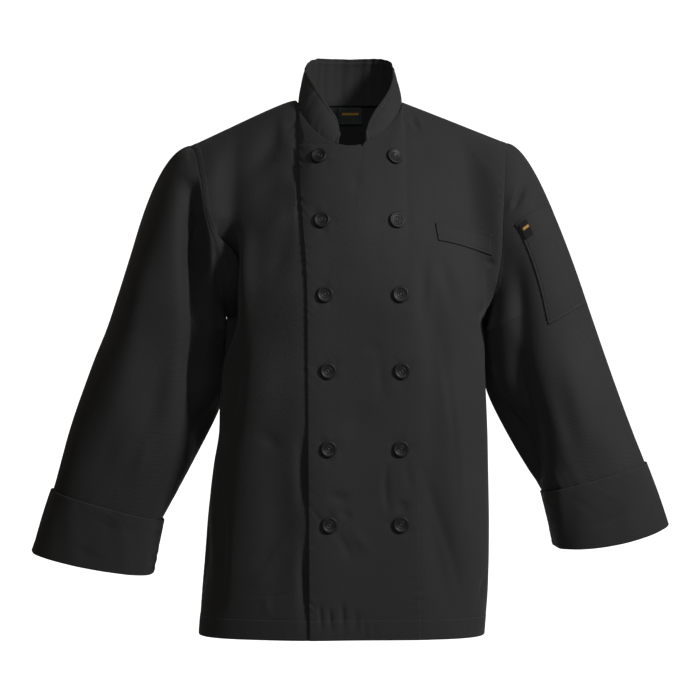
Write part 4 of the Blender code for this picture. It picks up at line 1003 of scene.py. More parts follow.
# ---- sewing -----------------------------------------------------------------------------------
def stitch_rows(name, lines):
    """Rows of stitches: each line is (points, normals), and each stitch a small arched spindle."""
    spots, ahead, out = [], [], []
    for path, normal in lines:
        steps = np.linalg.norm(np.diff(path, axis=0), axis=1)
        run = np.concatenate(((0.0,), np.cumsum(steps)))
        places = np.arange(STITCH_PITCH / 2, run[-1], STITCH_PITCH)
        middle = np.stack([np.interp(places, run, path[:, axis]) for axis in range(3)], axis=-1)
        later = np.stack([np.interp(places + STEP, run, path[:, axis]) for axis in range(3)], axis=-1)
        up = unit(np.stack([np.interp(places, run, normal[:, axis]) for axis in range(3)], axis=-1))
        spots.append(middle)
        ahead.append(unit(later - middle))
        out.append(up)
    spots, ahead, out = (np.concatenate(part) for part in (spots, ahead, out))
    aside = unit(np.cross(ahead, out))
    sections = ((-0.5, 0.0, 0.0), (-0.3, 1.0, 0.8), (0.3, 1.0, 0.8), (0.5, 0.0, 0.0))
    sides = 5
    points = []
    for place, width, height in sections:
        centre = spots + ahead * place * STITCH_LENGTH + out * (height - 0.4) * STITCH_RADIUS
        if width == 0.0:
            points.append(centre[:, None])
            continue
        turn = 2 * np.pi * np.arange(sides) / sides
        ring = np.cos(turn)[:, None] * aside[:, None] + np.sin(turn)[:, None] * out[:, None]
        points.append(centre[:, None] + ring * STITCH_RADIUS * width)
    points = np.concatenate(points, axis=1)
    each = points.shape[1]
    faces = []
    for side in range(sides):
        a, b = 1 + side, 1 + (side + 1) % sides
        c, d = a + sides, b + sides
        faces += [(0, b, a), (a, b, d), (a, d, c), (c, d, each - 1)]
    faces = (np.array(faces)[None] + each * np.arange(len(spots))[:, None, None]).reshape(-1, 3)
    return make_mesh(name, points.reshape(-1, 3), faces, smooth_angle=None)


def level_line(points, normal, field, level, rows=None):
    """Where a field that grows along each row passes a level: a line of points and normals."""
    rows = range(len(points)) if rows is None else rows
    path, up = [], []
    for row in rows:
        values = field[row]
        if not values.min() < level < values.max():
            continue
        order = np.argsort(values)
        path.append([np.interp(level, values[order], points[row, order, axis]) for axis in range(3)])
        up.append([np.interp(level, values[order], normal[row, order, axis]) for axis in range(3)])
    return np.array(path), np.array(up)


def level_row(points, normal, field, level, columns=None):
    """The same for a field that grows along each column."""
    points, normal, field = (np.swapaxes(grid, 0, 1) for grid in (points, normal, field))
    return level_line(points, normal, field, level, columns)


def end_lines(points, normal, around, inset, rows=None):
    """Lines at an inset from both ends of a grid's rows."""
    return [level_line(points, normal, around, inset, rows),
            level_line(points, normal, around - around[:, -1:], -inset, rows)]


def raised(points, inside, lift, closed=False):
    """A grid of points moved out by lift along its normals, and the normals it then has."""
    points = points + grid_normals(points, inside, closed) * lift[..., None]
    return points, grid_normals(points, inside, closed)


# ---- panels -----------------------------------------------------------------------------------
SEWN = {}                # rows of stitches of each piece


def button_pull(point):
    """The cloth sinks at each button and puckers round it."""
    lift = np.zeros(point.shape[:-1])
    for number, (z, right_x, left_x) in enumerate(BUTTON_ROWS):
        for side, x in enumerate((right_x, left_x)):
            away_x, away_z = point[..., 0] - x, point[..., 2] - z
            reach = np.hypot(away_x, away_z)
            turn = np.arctan2(away_z, away_x)
            phase = 2.1 * number + 1.3 * side
            ring = np.exp(-((reach - BUTTON_RING[0]) / BUTTON_RING[1]) ** 2)
            lift -= BUTTON_DIMPLE * np.exp(-(reach / BUTTON_DIMPLE_REACH) ** 2)
            waves = 0.6 * np.cos(3 * turn + phase) + 0.5 * np.cos(5 * turn - phase)
            lift += BUTTON_PUCKER * ring * waves
    return lift


def front_grid(upper):
    """Parameters of a front panel's points, from the free edge to the armhole, hem to neck."""
    columns, rows = FRONT_GRID
    side = 1.0 if upper else -1.0
    which = 0 if upper else 1
    heights = np.linspace(0.0, 2.0, 400)
    edge = lap_column(heights, which)
    across = crowd(columns, 0.55)

    def column(t):
        free = np.interp(t, heights, edge)
        return free + (side - free) * across

    def over_top(t):
        point = torso_plain(column(t), t, "front")
        x, z = point[..., 0], point[..., 2]
        if upper:
            slope = smoothstep((x - LAPS[-1][1]) / (LAP_TOP_END[0] - LAPS[-1][1]))
            top = LAP_TOP[0] + (LAP_TOP[1] - LAP_TOP[0]) * slope
            free = smoothstep((x - LAP_TOP_END[0]) / (LAP_TOP_END[1] - LAP_TOP_END[0]))
        else:
            top = UNDER_TOP_Z + 0.0 * x
            free = smoothstep((LAP_TOP_END[0] - x) / (LAP_TOP_END[1] - LAP_TOP_END[0]))
        return np.where(free >= 1.0, -1.0, z - (top + free * 0.2))

    top_t = solve(over_top, np.full(columns, 1.2), np.full(columns, 2.0))
    top_t = np.where(top_t > 1.9999, 2.0, top_t)
    up = 2.0 * crowd(rows, 0.5)[:, None]
    t = np.where(up <= 1.0, up, 1.0 + (up - 1.0) * (top_t - 1.0))
    free = np.interp(t, heights, edge)
    return free + (side - free) * across, t


def torso_inside(points):
    return stack(0.0 * points[..., 0], NECK_Y, points[..., 2] - 0.02)


def make_front(name, upper):
    a, t = front_grid(upper)
    points = front_surface(a, t, upper)
    around, up = run_lengths(points)
    from_side = around[:, -1:] - around
    from_top = up[-1:] - up
    armhole = smoothstep((t - 1.0) / 0.03)
    clear = 0.25 + 0.75 * smoothstep((points[..., 2] - BAND_FADE[0]) / (BAND_FADE[1] - BAND_FADE[0]))
    seed = SEEDS["front_left" if upper else "front_right"]
    lift = armhole * clear * sewn_band(from_side, up, ARMHOLE_BAND, seed)
    lift = lift + seam_puckers("side", up, seed + 1, from_side, 1 - armhole)
    lift = lift + sewn_band(up, around, HEM_BAND, seed + 2, HEM_STRENGTH)
    on_neck = smoothstep((np.abs(a) - 0.02) / 0.03) * (1 - smoothstep((np.abs(a) - NECK_SHARE) / 0.03))
    if upper:
        on_neck = on_neck * smoothstep((points[..., 0] - LAP_TOP_END[0]) / 0.012)
        facing = points[..., 0] - spline(LAPS, points[..., 2])[..., 1]
        stitched = smoothstep((FACING_STITCH_TOP - points[..., 2]) / 0.03)
        lift = lift + stitched * groove(facing)
        lift = lift + seam_puckers("facing", up, seed + 3, facing, 0.35 + 0.65 * stitched)
        lift = lift + button_pull(points)
        oblique = up + 0.9 * around
        lift = lift + seam_puckers("lap_edge", oblique, seed + 4, around)
    lift = lift + on_neck * sewn_band(from_top, around, NECK_BAND, seed + 5)
    points, normal = raised(points, torso_inside(points), lift)
    made = shell(name, points, normal, WALL)
    columns = FRONT_GRID[0]
    lines = [level_row(points, normal, up, HEM_BAND)]
    above = np.nonzero(t[:, -1] > 1.01)[0]
    lines.append(level_line(points, normal, around - around[:, -1:], -ARMHOLE_BAND, above))
    if upper:
        below = np.nonzero(points[:, columns // 2, 2] < FACING_STITCH_TOP)[0]
        lines.append(level_line(points, normal, facing, 0.0, below))
    SEWN[name] = lines
    return made


def make_back():
    columns, rows = BACK_GRID
    a, t = np.meshgrid(-1.0 + 2.0 * crowd(columns, 0.55), 2.0 * crowd(rows, 0.5))
    points = back_surface(a, t)
    around, up = run_lengths(points)
    from_top = up[-1:] - up
    armhole = smoothstep((t - 1.0) / 0.03)
    seed = SEEDS["back"]
    lift = sewn_band(up, around, HEM_BAND, seed, HEM_STRENGTH)
    for number, from_side in ((1, around), (2, around[:, -1:] - around)):
        lift = lift + armhole * sewn_band(from_side, up, ARMHOLE_BAND, seed + number)
        lift = lift + seam_puckers("side", up, seed + number + 5, from_side, 1 - armhole)
    on_neck = 1 - smoothstep((np.abs(a) - NECK_SHARE) / 0.03)
    lift = lift + on_neck * sewn_band(from_top, around, NECK_BAND, seed + 3)
    points, normal = raised(points, torso_inside(points), lift)
    made = shell("back_cloth", points, normal, WALL)
    above = np.nonzero(t[:, 0] > 1.01)[0]
    SEWN["back_cloth"] = [level_row(points, normal, up, HEM_BAND),
                          *end_lines(points, normal, around, ARMHOLE_BAND, above)]
    return made


def ring_middles(points):
    return np.broadcast_to(points.mean(axis=1, keepdims=True), points.shape)


def sleeve_grid_angles(count):
    even = np.arange(count) * 360.0 / count
    return even - SLEEVE_CROWD * np.sin(np.radians(even))


def make_sleeve(side):
    columns, rows = SLEEVE_GRID
    end = 2.0 + CUFF_TUCK
    places = end * crowd(rows, 0.35)
    angle, place = np.meshgrid(sleeve_grid_angles(columns), places)
    points = sleeve_surface(side, angle, place)
    around, up = run_lengths(points)
    seed = SEEDS["sleeve_" + side]
    lift = seam_puckers("sleeve_head", around, seed, up)
    from_cuff = np.abs(place - 2.0) * 0.1
    lift = lift + seam_puckers("cuff_top", around, seed + 1, from_cuff)
    points, normal = raised(points, ring_middles(points), lift, closed=True)
    return shell("sleeve_cloth_" + side, points, normal, WALL, closed=True)


def make_cuff(side):
    columns, rows = CUFF_GRID
    angle, place = np.meshgrid(sleeve_grid_angles(columns), 2.0 + crowd(rows, 0.5))
    points = sleeve_plain(side, angle, place)
    around, up = run_lengths(points)
    seed = SEEDS["cuff_" + side]
    long = pucker(around + 0.3 * up, seed + 2, 0.035, 0.080)
    lift = CUFF_OUTSET + 0.0007 * long + seam_puckers("cuff_start", around, seed, up)
    inner_seam = np.minimum(around, around[:, -1:] - around)
    lift = lift + seam_puckers("cuff_seam", up - 0.5 * inner_seam, seed + 1, inner_seam)
    faces_front = smoothstep(np.sin(np.radians(angle)) / 0.3)
    lift = lift + MILLIMETRE * faces_front * fold_height(FINE_CUFFS[side], *seen(points))
    points, normal = raised(points, ring_middles(points), lift, closed=True)
    return shell("cuff_cloth_" + side, points, normal, FIRM_WALL, closed=True)


def make_collar():
    columns, rows = COLLAR_GRID
    shares, ups = np.meshgrid(crowd(columns, 0.3), -COLLAR_TUCK + (1.0 + COLLAR_TUCK) * crowd(rows, 0.55))
    points = collar_surface(shares, ups)
    around, up = run_lengths(points)
    seed = SEEDS["collar"]
    from_edge = np.minimum(np.minimum(around, around[:, -1:] - around), up[-1:] - up)
    at_back = smoothstep((points[..., 1] + 0.01) / 0.03)
    soft = (0.0005 + 0.0012 * at_back) * pucker(around, seed, 0.014, 0.038) * smoothstep(up / 0.01)
    rim = COLLAR_RIM * np.exp(-((from_edge - 0.4 * COLLAR_STITCH) / (0.4 * COLLAR_STITCH)) ** 2)
    lift = soft + rim + COLLAR_GROOVE * groove(from_edge - COLLAR_STITCH)
    lift = lift + seam_puckers("collar_edge", around, seed + 1, from_edge)
    lift = lift + seam_puckers("collar_seam", around, seed + 2, up)
    points, normal = raised(points, stack(0.0 * points[..., 0], 0.0, points[..., 2]), lift)
    made = shell("collar_cloth", points, normal, FIRM_WALL)
    height = up[:, columns // 2]
    inner_rows = np.nonzero((height > 0.002) & (height < height[-1] - COLLAR_STITCH))[0]
    SEWN["collar_cloth"] = [
        level_row(points, normal, up - up[-1:], -COLLAR_STITCH, range(6, columns - 6)),
        *end_lines(points, normal, around, COLLAR_STITCH, inner_rows),
    ]
    return made


# ---- pieces on the panels ---------------------------------------------------------------------
def make_welt():
    across, down = np.meshgrid(crowd(60, 0.4), crowd(24, 0.4))

    def along(edge):
        start, middle, end = (np.array(corner) for corner in WELT[edge])
        pull = (2 * middle - (start + end) / 2)
        share = across[..., None]
        return (1 - share) ** 2 * start + 2 * share * (1 - share) * pull + share ** 2 * end

    place = along("top") * (1 - down[..., None]) + along("low") * down[..., None]
    points, normal = front_spot(place[..., 0], place[..., 1])
    points = points + normal * (PATCH_GAP + PATCH_WALL)
    around, below = run_lengths(points)
    from_end = np.minimum(around, around[:, -1:] - around)
    edge = np.minimum(from_end, below[-1:] - below)
    lift = groove(edge - WELT_INSET) + TOP_ROLL["welt"] * np.exp(-(below / TOP_ROLL_REACH) ** 2)
    points = points + normal * lift[..., None]
    made = shell("chest_welt_cloth", points, normal, PATCH_WALL)
    SEWN["chest_welt_cloth"] = [*end_lines(points, normal, around, WELT_INSET),
                                level_row(points, normal, below - below[-1:], -WELT_INSET)]
    return made


def make_pocket():
    across, down = np.meshgrid(crowd(54, 0.4), crowd(76, 0.4))
    points, normal = pocket_spot(across, down)
    points = points + normal * (POCKET_GAP + PATCH_WALL)
    around, below = run_lengths(points)
    edge = np.minimum(np.minimum(around, around[:, -1:] - around), below[-1:] - below)
    divide = around / around[:, -1:] - POCKET_DIVISION
    lift = (groove(edge - POCKET_INSET) + groove(divide * around[:, -1:])
            + TOP_ROLL["pocket"] * np.exp(-(below / TOP_ROLL_REACH) ** 2))
    lift = lift + seam_puckers("pocket", below, SEEDS["sleeve_pocket"], edge)
    points = points + normal * lift[..., None]
    made = shell("sleeve_pocket_cloth", points, normal, PATCH_WALL)
    SEWN["sleeve_pocket_cloth"] = [
        *end_lines(points, normal, around, POCKET_INSET),
        level_line(points, normal, divide, 0.0),
        level_row(points, normal, below - below[-1:], -POCKET_INSET),
    ]
    return made


def make_labels():
    left, right, top, low = POCKET_LABEL
    across, down = np.meshgrid(np.linspace(left, right, 26), np.linspace(top, low, 26))
    points, normal = pocket_spot(across, down)
    points = points + normal * (POCKET_GAP + PATCH_WALL + TAPE_GAP + LABEL_WALL)
    pocket_label = shell("pocket_label_cloth", points, normal, LABEL_WALL)
    width, height, drop = NECK_LABEL
    x, z = np.meshgrid(np.linspace(-width / 2, width / 2, 34),
                       np.linspace(-drop, -drop - height, 26) + NECK_SIDE_Z + NECK_NAPE)
    a, t = locate(back_surface, x, z, x / 0.22, 2.0 + z / 0.3)
    inward = -normals(back_surface, a, t, (-1.0, 1.0), (0.0, 2.0), lambda u, v: torso_centre(u, v, "back"))
    points = back_surface(a, t) + inward * (WALL + LABEL_GAP + LABEL_WALL)
    neck_label = shell("neck_label_cloth", points, inward, LABEL_WALL)
    return pocket_label, neck_label


# ---- buttons ----------------------------------------------------------------------------------
BUTTON_PROFILE = (       # radius and height of the turned shape, in millimetres, from the underside
    (0.0, 0.0), (9.4, 0.0), (10.5, 0.5), (11.0, 1.3), (10.9, 2.0), (10.4, 2.6), (9.7, 2.95), (9.0, 3.0),
    (8.3, 2.8), (7.6, 2.35), (6.9, 2.1), (5.9, 2.05), (5.4, 1.95), (5.0, 1.55), (4.6, 1.95), (4.1, 2.0),
    (3.6, 1.75), (2.6, 1.45), (1.3, 1.3), (0.0, 1.28),
)
BUTTON_TURNS = 56
HOLE_RADIUS = 0.00085
HOLE_PLACE = 0.0015      # each hole's distance from the middle, across and up


def button_mesh():
    """One four-hole button round the origin, facing +Z."""
    turn = 2 * np.pi * np.arange(BUTTON_TURNS) / BUTTON_TURNS
    points, faces = [(0.0, 0.0, 0.0)], []
    for radius, height in BUTTON_PROFILE[1:-1]:
        points += [(radius * np.cos(way) / 1000, radius * np.sin(way) / 1000, height / 1000) for way in turn]
    points.append((0.0, 0.0, BUTTON_PROFILE[-1][1] / 1000))
    rings = len(BUTTON_PROFILE) - 2
    for step in range(BUTTON_TURNS):
        following = (step + 1) % BUTTON_TURNS
        faces.append((0, 1 + following, 1 + step))
        for ring in range(rings - 1):
            low, high = 1 + ring * BUTTON_TURNS, 1 + (ring + 1) * BUTTON_TURNS
            faces.append((low + step, low + following, high + following, high + step))
        last = 1 + (rings - 1) * BUTTON_TURNS
        faces.append((last + step, last + following, len(points) - 1))
    mesh = bpy.data.meshes.new("button_blank")
    mesh.from_pydata(points, [], faces)
    blank = bpy.data.objects.new("button_blank", mesh)
    bpy.context.scene.collection.objects.link(blank)
    drills = []
    for x in (-HOLE_PLACE, HOLE_PLACE):
        for y in (-HOLE_PLACE, HOLE_PLACE):
            bpy.ops.mesh.primitive_cylinder_add(vertices=18, radius=HOLE_RADIUS, depth=0.01,
                                                location=(x, y, 0.0))
            drill = bpy.context.object
            drills.append(drill)
            cut = blank.modifiers.new("hole", "BOOLEAN")
            cut.operation = "DIFFERENCE"
            cut.object = drill
    drilled = bpy.data.meshes.new_from_object(blank.evaluated_get(bpy.context.evaluated_depsgraph_get()))
    for scrap in drills + [blank]:
        bpy.data.objects.remove(scrap, do_unlink=True)
    drilled.shade_smooth()
    drilled.set_sharp_from_angle(angle=np.radians(42.0))
    return drilled


def thread_mesh():
    """Crossed threads through the holes, and the shank under the button, round the origin."""
    lines = []
    for way in (1.0, -1.0):
        for aside in (-0.00028, 0.0, 0.00028):
            share = np.linspace(-1.0, 1.0, 13)
            arch = 0.0019 + 0.0006 * (1 - share ** 2) - 0.0008 * (np.abs(share) > 0.95)
            path = stack(share * HOLE_PLACE + aside, share * HOLE_PLACE * way - aside * way, arch)
            lines.append(path)
    shank = 2 * np.pi * np.arange(12) / 12
    vertices, faces = [], []
    for path in lines:
        ahead = unit(np.gradient(path, axis=0))
        aside = unit(np.cross(ahead, (0.0, 0.0, 1.0)))
        over = np.cross(aside, ahead)
        start = len(vertices)
        for spot, side, up in zip(path, aside, over):
            for corner in range(6):
                turn = np.pi * corner / 3
                vertices.append(spot + 0.00017 * (np.cos(turn) * side + np.sin(turn) * up))
        for step in range(len(path) - 1):
            for corner in range(6):
                a = start + step * 6 + corner
                b = start + step * 6 + (corner + 1) % 6
                faces.append((a, b, b + 6, a + 6))
        faces.append(tuple(start + corner for corner in range(5, -1, -1)))
        faces.append(tuple(start + (len(path) - 1) * 6 + corner for corner in range(6)))
    start = len(vertices)
    for height in (-0.0009, 0.0002):
        vertices += [np.array((0.0018 * np.cos(way), 0.0018 * np.sin(way), height)) for way in shank]
    faces += [(start + k, start + (k + 1) % 12, start + 12 + (k + 1) % 12, start + 12 + k) for k in range(12)]
    faces += [tuple(start + k for k in range(11, -1, -1)), tuple(start + 12 + k for k in range(12))]
    mesh = bpy.data.meshes.new("button_thread")
    mesh.from_pydata([tuple(vertex) for vertex in vertices], [], faces)
    mesh.shade_smooth()
    return mesh


def place_on_cloth(name, mesh, x, z, spin):
    """A copy of a mesh lying on the upper front at x, z, turned by spin degrees."""
    spot, normal = front_spot(np.array([x]), np.array([z]))
    spot, normal = spot[0], normal[0]
    side = unit(np.cross((0.0, 0.0, 1.0), normal))
    up = np.cross(normal, side)
    turn = np.radians(spin)
    cosine, sine = np.cos(turn), np.sin(turn)
    axes = np.stack((cosine * side + sine * up, cosine * up - sine * side, normal))
    copy = mesh.copy()
    count = len(copy.vertices)
    flat = np.empty(count * 3, np.float32)
    copy.vertices.foreach_get("co", flat)
    moved = flat.reshape(-1, 3) @ axes + spot + normal * BUTTON_GAP
    copy.vertices.foreach_set("co", moved.astype(np.float32).ravel())
    copy.update()
    made = bpy.data.objects.new(name, copy)
    bpy.context.scene.collection.objects.link(made)
    return made


# ---- materials --------------------------------------------------------------------------------
class Nodes:
    """A material's node tree, with short calls to add and join nodes."""

    def __init__(self, name):
        self.material = bpy.data.materials.new(name)
        self.material.use_nodes = True
        self.tree = self.material.node_tree
        self.shader = self.tree.nodes["Principled BSDF"]

    def add(self, kind, **settings):
        node = self.tree.nodes.new(kind)
        for key, value in settings.items():
            setattr(node, key, value)
        return node

    def join(self, source, target):
        self.tree.links.new(source, target)

    def set(self, **values):
        for key, value in values.items():
            self.shader.inputs[key.replace("_", " ")].default_value = value

    def noise(self, scale, detail, vector=None, roughness=0.5):
        node = self.add("ShaderNodeTexNoise")
        node.inputs["Scale"].default_value = scale
        node.inputs["Detail"].default_value = detail
        node.inputs["Roughness"].default_value = roughness
        if vector is not None:
            self.join(vector, node.inputs["Vector"])
        return node.outputs["Fac"]

    def spread(self, value, low, high, to_low, to_high):
        node = self.add("ShaderNodeMapRange")
        for name, number in (("From Min", low), ("From Max", high), ("To Min", to_low), ("To Max", to_high)):
            node.inputs[name].default_value = number
        self.join(value, node.inputs["Value"])
        return node.outputs["Result"]

    def math(self, operation, first, second):
        node = self.add("ShaderNodeMath", operation=operation)
        for socket, value in zip(node.inputs, (first, second)):
            if isinstance(value, (int, float)):
                socket.default_value = value
            else:
                self.join(value, socket)
        return node.outputs[0]

    def feed(self, **sources):
        """Join node outputs to the shader's inputs."""
        for key, source in sources.items():
            self.join(source, self.shader.inputs[key.replace("_", " ")])

    def where(self):
        return self.add("ShaderNodeTexCoord").outputs["Object"]

    def mix(self, factor, first, second):
        node = self.add("ShaderNodeMix", data_type="RGBA")
        self.join(factor, node.inputs["Factor"])
        node.inputs["A"].default_value = (*first, 1.0)
        node.inputs["B"].default_value = (*second, 1.0)
        return node.outputs["Result"]

    def bump(self, height, distance, strength=1.0, before=None):
        node = self.add("ShaderNodeBump")
        node.inputs["Strength"].default_value = strength
        node.inputs["Distance"].default_value = distance
        self.join(height, node.inputs["Height"])
        if before is not None:
            self.join(before, node.inputs["Normal"])
        return node.outputs["Normal"]


def wave(nodes, vector, scale, direction, distortion=0.0):
    node = nodes.add("ShaderNodeTexWave", wave_type="BANDS", bands_direction=direction, wave_profile="SIN")
    node.inputs["Scale"].default_value = scale
    node.inputs["Distortion"].default_value = distortion
    nodes.join(vector, node.inputs["Vector"])
    return node.outputs["Fac"]


def woven(name, dark, light, sheen, twill_pitch, tilt, roughness):
    """Twill: fine diagonal ridges of yarn crossed by the weft, with slight unevenness in its black."""
    nodes = Nodes(name)
    uv = nodes.add("ShaderNodeUVMap", uv_map="weave").outputs["UV"]
    mapping = nodes.add("ShaderNodeMapping")
    mapping.inputs["Rotation"].default_value = (0.0, 0.0, np.radians(tilt))
    nodes.join(uv, mapping.inputs["Vector"])
    along = mapping.outputs["Vector"]
    per_metre = 2 * np.pi / 20.0 / twill_pitch
    ridge = wave(nodes, along, per_metre, "X", 0.0)
    weft = wave(nodes, uv, per_metre * 1.35, "Y", 0.0)
    weave = nodes.math("MULTIPLY", ridge, nodes.spread(weft, 0.0, 1.0, 0.55, 1.0))
    slub = wave(nodes, along, per_metre / 3.6, "X", 1.5)
    place = nodes.where()
    cloud = nodes.noise(9.0, 4.0, place)
    fuzz = nodes.noise(1400.0, 2.0, place)
    tone = nodes.math("ADD", nodes.spread(cloud, 0.3, 0.7, 0.0, 0.35),
                      nodes.spread(weave, 0.0, 1.0, 0.0, 0.35))
    tone = nodes.math("ADD", tone, nodes.spread(slub, 0.0, 1.0, 0.0, 0.16))
    tone = nodes.math("ADD", tone, nodes.spread(fuzz, 0.35, 0.65, 0.0, 0.14))
    nap = nodes.bump(weave, 0.00022)
    nap = nodes.bump(slub, 0.00010, 0.5, nap)
    nap = nodes.bump(fuzz, 0.00008, 0.6, nap)
    nodes.feed(Base_Color=nodes.mix(tone, dark, light), Normal=nap,
               Roughness=nodes.spread(fuzz, 0.3, 0.7, roughness - 0.06, roughness + 0.06))
    nodes.set(Sheen_Weight=sheen, Sheen_Roughness=0.45, Specular_IOR_Level=0.28)
    nodes.shader.inputs["Sheen Tint"].default_value = (0.82, 0.82, 0.86, 1.0)
    return nodes.material


def plain_thread(name, colour):
    nodes = Nodes(name)
    place = nodes.where()
    twist = nodes.noise(2600.0, 1.0, place)
    darker = tuple(0.6 * part for part in colour)
    nodes.feed(Base_Color=nodes.mix(twist, darker, colour), Normal=nodes.bump(twist, 0.00006))
    nodes.set(Roughness=0.55, Sheen_Weight=0.3, Specular_IOR_Level=0.4)
    return nodes.material


def button_plastic():
    """Cast polyester: satin near black with faint clouds and fine handling marks."""
    nodes = Nodes("button_gloss")
    place = nodes.where()
    cloud = nodes.noise(160.0, 3.0, place)
    marks = nodes.noise(1900.0, 3.0, place)
    nodes.feed(Base_Color=nodes.mix(cloud, *BUTTON_BLACKS), Normal=nodes.bump(marks, 0.00003, 0.4),
               Roughness=nodes.spread(marks, 0.35, 0.75, 0.42, 0.56))
    nodes.set(Specular_IOR_Level=0.20)
    return nodes.material


def label_tape(name, dark, light, bar):
    """Plain woven tape: charcoal with lighter flecks and a bar of ochre yarn."""
    nodes = Nodes(name)
    uv = nodes.add("ShaderNodeUVMap", uv_map="weave").outputs["UV"]
    warp = wave(nodes, uv, 2 * np.pi / 20.0 / 0.0006, "X")
    weft = wave(nodes, uv, 2 * np.pi / 20.0 / 0.0008, "Y")
    weave = nodes.math("MULTIPLY", warp, weft)
    fleck = nodes.noise(900.0, 3.0, nodes.where(), 0.7)
    tone = nodes.math("ADD", nodes.spread(fleck, 0.35, 0.65, 0.0, 0.8),
                      nodes.spread(weave, 0.0, 1.0, 0.0, 0.2))
    split = nodes.add("ShaderNodeSeparateXYZ")
    nodes.join(uv, split.inputs["Vector"])
    inside = nodes.spread(fleck, 0.30, 0.45, 0.0, 1.0)
    for axis, (low, high) in zip(("X", "Y"), (bar[:2], bar[2:])):
        inside = nodes.math("MULTIPLY", inside, nodes.math("GREATER_THAN", split.outputs[axis], low))
        inside = nodes.math("MULTIPLY", inside, nodes.math("LESS_THAN", split.outputs[axis], high))
    colour = nodes.add("ShaderNodeMix", data_type="RGBA")
    nodes.join(inside, colour.inputs["Factor"])
    nodes.join(nodes.mix(tone, dark, light), colour.inputs["A"])
    colour.inputs["B"].default_value = OCHRE
    nodes.feed(Base_Color=colour.outputs["Result"], Normal=nodes.bump(weave, 0.00015))
    nodes.set(Roughness=0.8, Specular_IOR_Level=0.12)
    return nodes.material


TWILL_BLACKS = ((0.0105, 0.0102, 0.0106), (0.0215, 0.0210, 0.0216))   # darkest and lightest
THREAD_BLACK = (0.016, 0.0157, 0.016)
BUTTON_BLACKS = ((0.006, 0.006, 0.0064), (0.012, 0.012, 0.0128))
NECK_CHARCOALS = ((0.020, 0.023, 0.024), (0.060, 0.068, 0.068))
POCKET_CHARCOALS = ((0.006, 0.0065, 0.007), (0.013, 0.0145, 0.016))
OCHRE = (0.38, 0.21, 0.040, 1.0)
NECK_BAR = (0.005, 0.029, 0.0070, 0.0105)     # from, to across and down the label, in metres
POCKET_BAR = (0.003, 0.0124, 0.0074, 0.0110)


# ---- studio -----------------------------------------------------------------------------------
FLOOR_Z = -1.52
BACKDROP_Y = 4.2
WORLD_LIGHT = 0.034
WORLD_COLOUR = (1.0, 0.80, 0.36, 1.0)   # the warm cast of the unlit cloth
LIGHTS = {               # place, what it points at, diameter, watts
    "key": ((1.494, -1.345, 0.645), (0.0, 0.0, -0.25), 0.42, 49.0),
    "fill": ((-0.09, -1.731, 1.104), (0.0, 0.0, -0.25), 0.9, 11.0),
}


def finish_piece(piece, node, material):
    piece.data.materials.clear()
    piece.data.materials.append(material)
    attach(piece, "root")
    if node:
        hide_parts(node)


def build_jacket():
    twill = woven("black_twill", *TWILL_BLACKS, sheen=0.07, twill_pitch=0.0011, tilt=28.0, roughness=0.80)
    thread = plain_thread("black_thread", THREAD_BLACK)
    gloss = button_plastic()
    tapes = {
        "neck_label": label_tape("neck_tape", *NECK_CHARCOALS, NECK_BAR),
        "pocket_label": label_tape("pocket_tape", *POCKET_CHARCOALS, POCKET_BAR),
    }
    panels = {
        "front_left": make_front("front_left_cloth", True),
        "front_right": make_front("front_right_cloth", False),
        "back": make_back(),
        "collar": make_collar(),
        "chest_welt": make_welt(),
        "sleeve_pocket": make_pocket(),
    }
    for side in ("left", "right"):
        panels["sleeve_" + side] = make_sleeve(side)
        panels["cuff_" + side] = make_cuff(side)
    for node, piece in panels.items():
        finish_piece(piece, node, twill)
        if piece.name in SEWN:
            sewing = stitch_rows("stitches_" + node, SEWN[piece.name])
            finish_piece(sewing, None, thread)
    labels = make_labels()
    for node, piece in zip(("pocket_label", "neck_label"), labels):
        finish_piece(piece, node, tapes[node])
    button, knot = button_mesh(), thread_mesh()
    for number, (z, right_x, left_x) in enumerate(BUTTON_ROWS, start=1):
        for side, x in (("right", right_x), ("left", left_x)):
            spin = 17.0 * number + (40.0 if side == "left" else 5.0)
            name = "button_%s_%d" % (side, number)
            finish_piece(place_on_cloth(name + "_turned", button, x, z, spin), name, gloss)
            finish_piece(place_on_cloth(name + "_thread", knot, x, z, spin), None, thread)


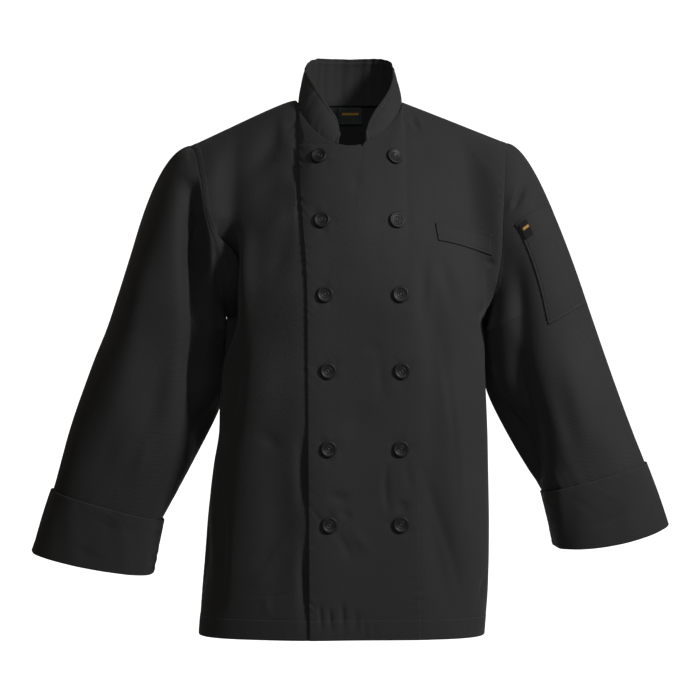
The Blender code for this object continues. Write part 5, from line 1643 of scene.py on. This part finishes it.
def place_camera():
    lens = bpy.data.cameras.new("camera")
    lens.sensor_width = SENSOR
    lens.lens = SENSOR * CAMERA_DISTANCE / (FRAME_PIXELS * PIXEL)
    camera = bpy.data.objects.new("camera", lens)
    camera.location = (0.0, -CAMERA_DISTANCE, CAMERA_HEIGHT)
    camera.rotation_euler = (np.pi / 2, 0.0, 0.0)
    bpy.context.scene.collection.objects.link(camera)
    bpy.context.scene.camera = camera


def area_light(name, place, aim, size, power):
    light = bpy.data.lights.new(name, "AREA")
    light.shape = "DISK"
    light.size = size
    light.energy = power
    holder = bpy.data.objects.new(name, light)
    holder.location = place
    way = np.array(aim) - np.array(place)
    holder.rotation_euler = (np.arccos(-way[2] / np.linalg.norm(way)), 0.0, np.arctan2(-way[0], way[1]))
    bpy.context.scene.collection.objects.link(holder)


def plain_white(name, colour, glow):
    """Matt white with a faint unevenness, and a glow for a lit backdrop."""
    white = Nodes(name)
    white.set(Roughness=0.9, Specular_IOR_Level=0.1, Emission_Strength=glow)
    white.shader.inputs["Emission Color"].default_value = (1.0, 1.0, 1.0, 1.0)
    grain = white.noise(3.0, 2.0)
    darker = tuple(0.98 * part for part in colour)
    white.feed(Base_Color=white.mix(grain, darker, colour))
    return white.material


def stage_and_lights():
    bpy.ops.mesh.primitive_circle_add(vertices=96, radius=7.0, fill_type="NGON", location=(0.0, 0.0, FLOOR_Z))
    floor = bpy.context.object
    floor.name = "studio_floor"
    floor.data.materials.append(plain_white("studio_white", (0.72, 0.72, 0.72), 0.0))
    bpy.ops.mesh.primitive_plane_add(size=1.0, location=(0.0, BACKDROP_Y, CAMERA_HEIGHT),
                                     rotation=(np.pi / 2, 0.0, 0.0))
    backdrop = bpy.context.object
    backdrop.name = "studio_backdrop"
    backdrop.scale = (3.4, 3.4, 1.0)
    backdrop.data.materials.append(plain_white("studio_backlit", (0.90, 0.90, 0.90), 1.0))
    world = bpy.data.worlds.new("studio")
    world.use_nodes = True
    world.node_tree.nodes["Background"].inputs["Color"].default_value = WORLD_COLOUR
    world.node_tree.nodes["Background"].inputs["Strength"].default_value = WORLD_LIGHT
    bpy.context.scene.world = world
    for name, (place, aim, size, power) in LIGHTS.items():
        area_light(name, place, aim, size, power)
    bpy.context.scene.view_settings.view_transform = "Standard"


place_camera()
stage_and_lights()
build_jacket()
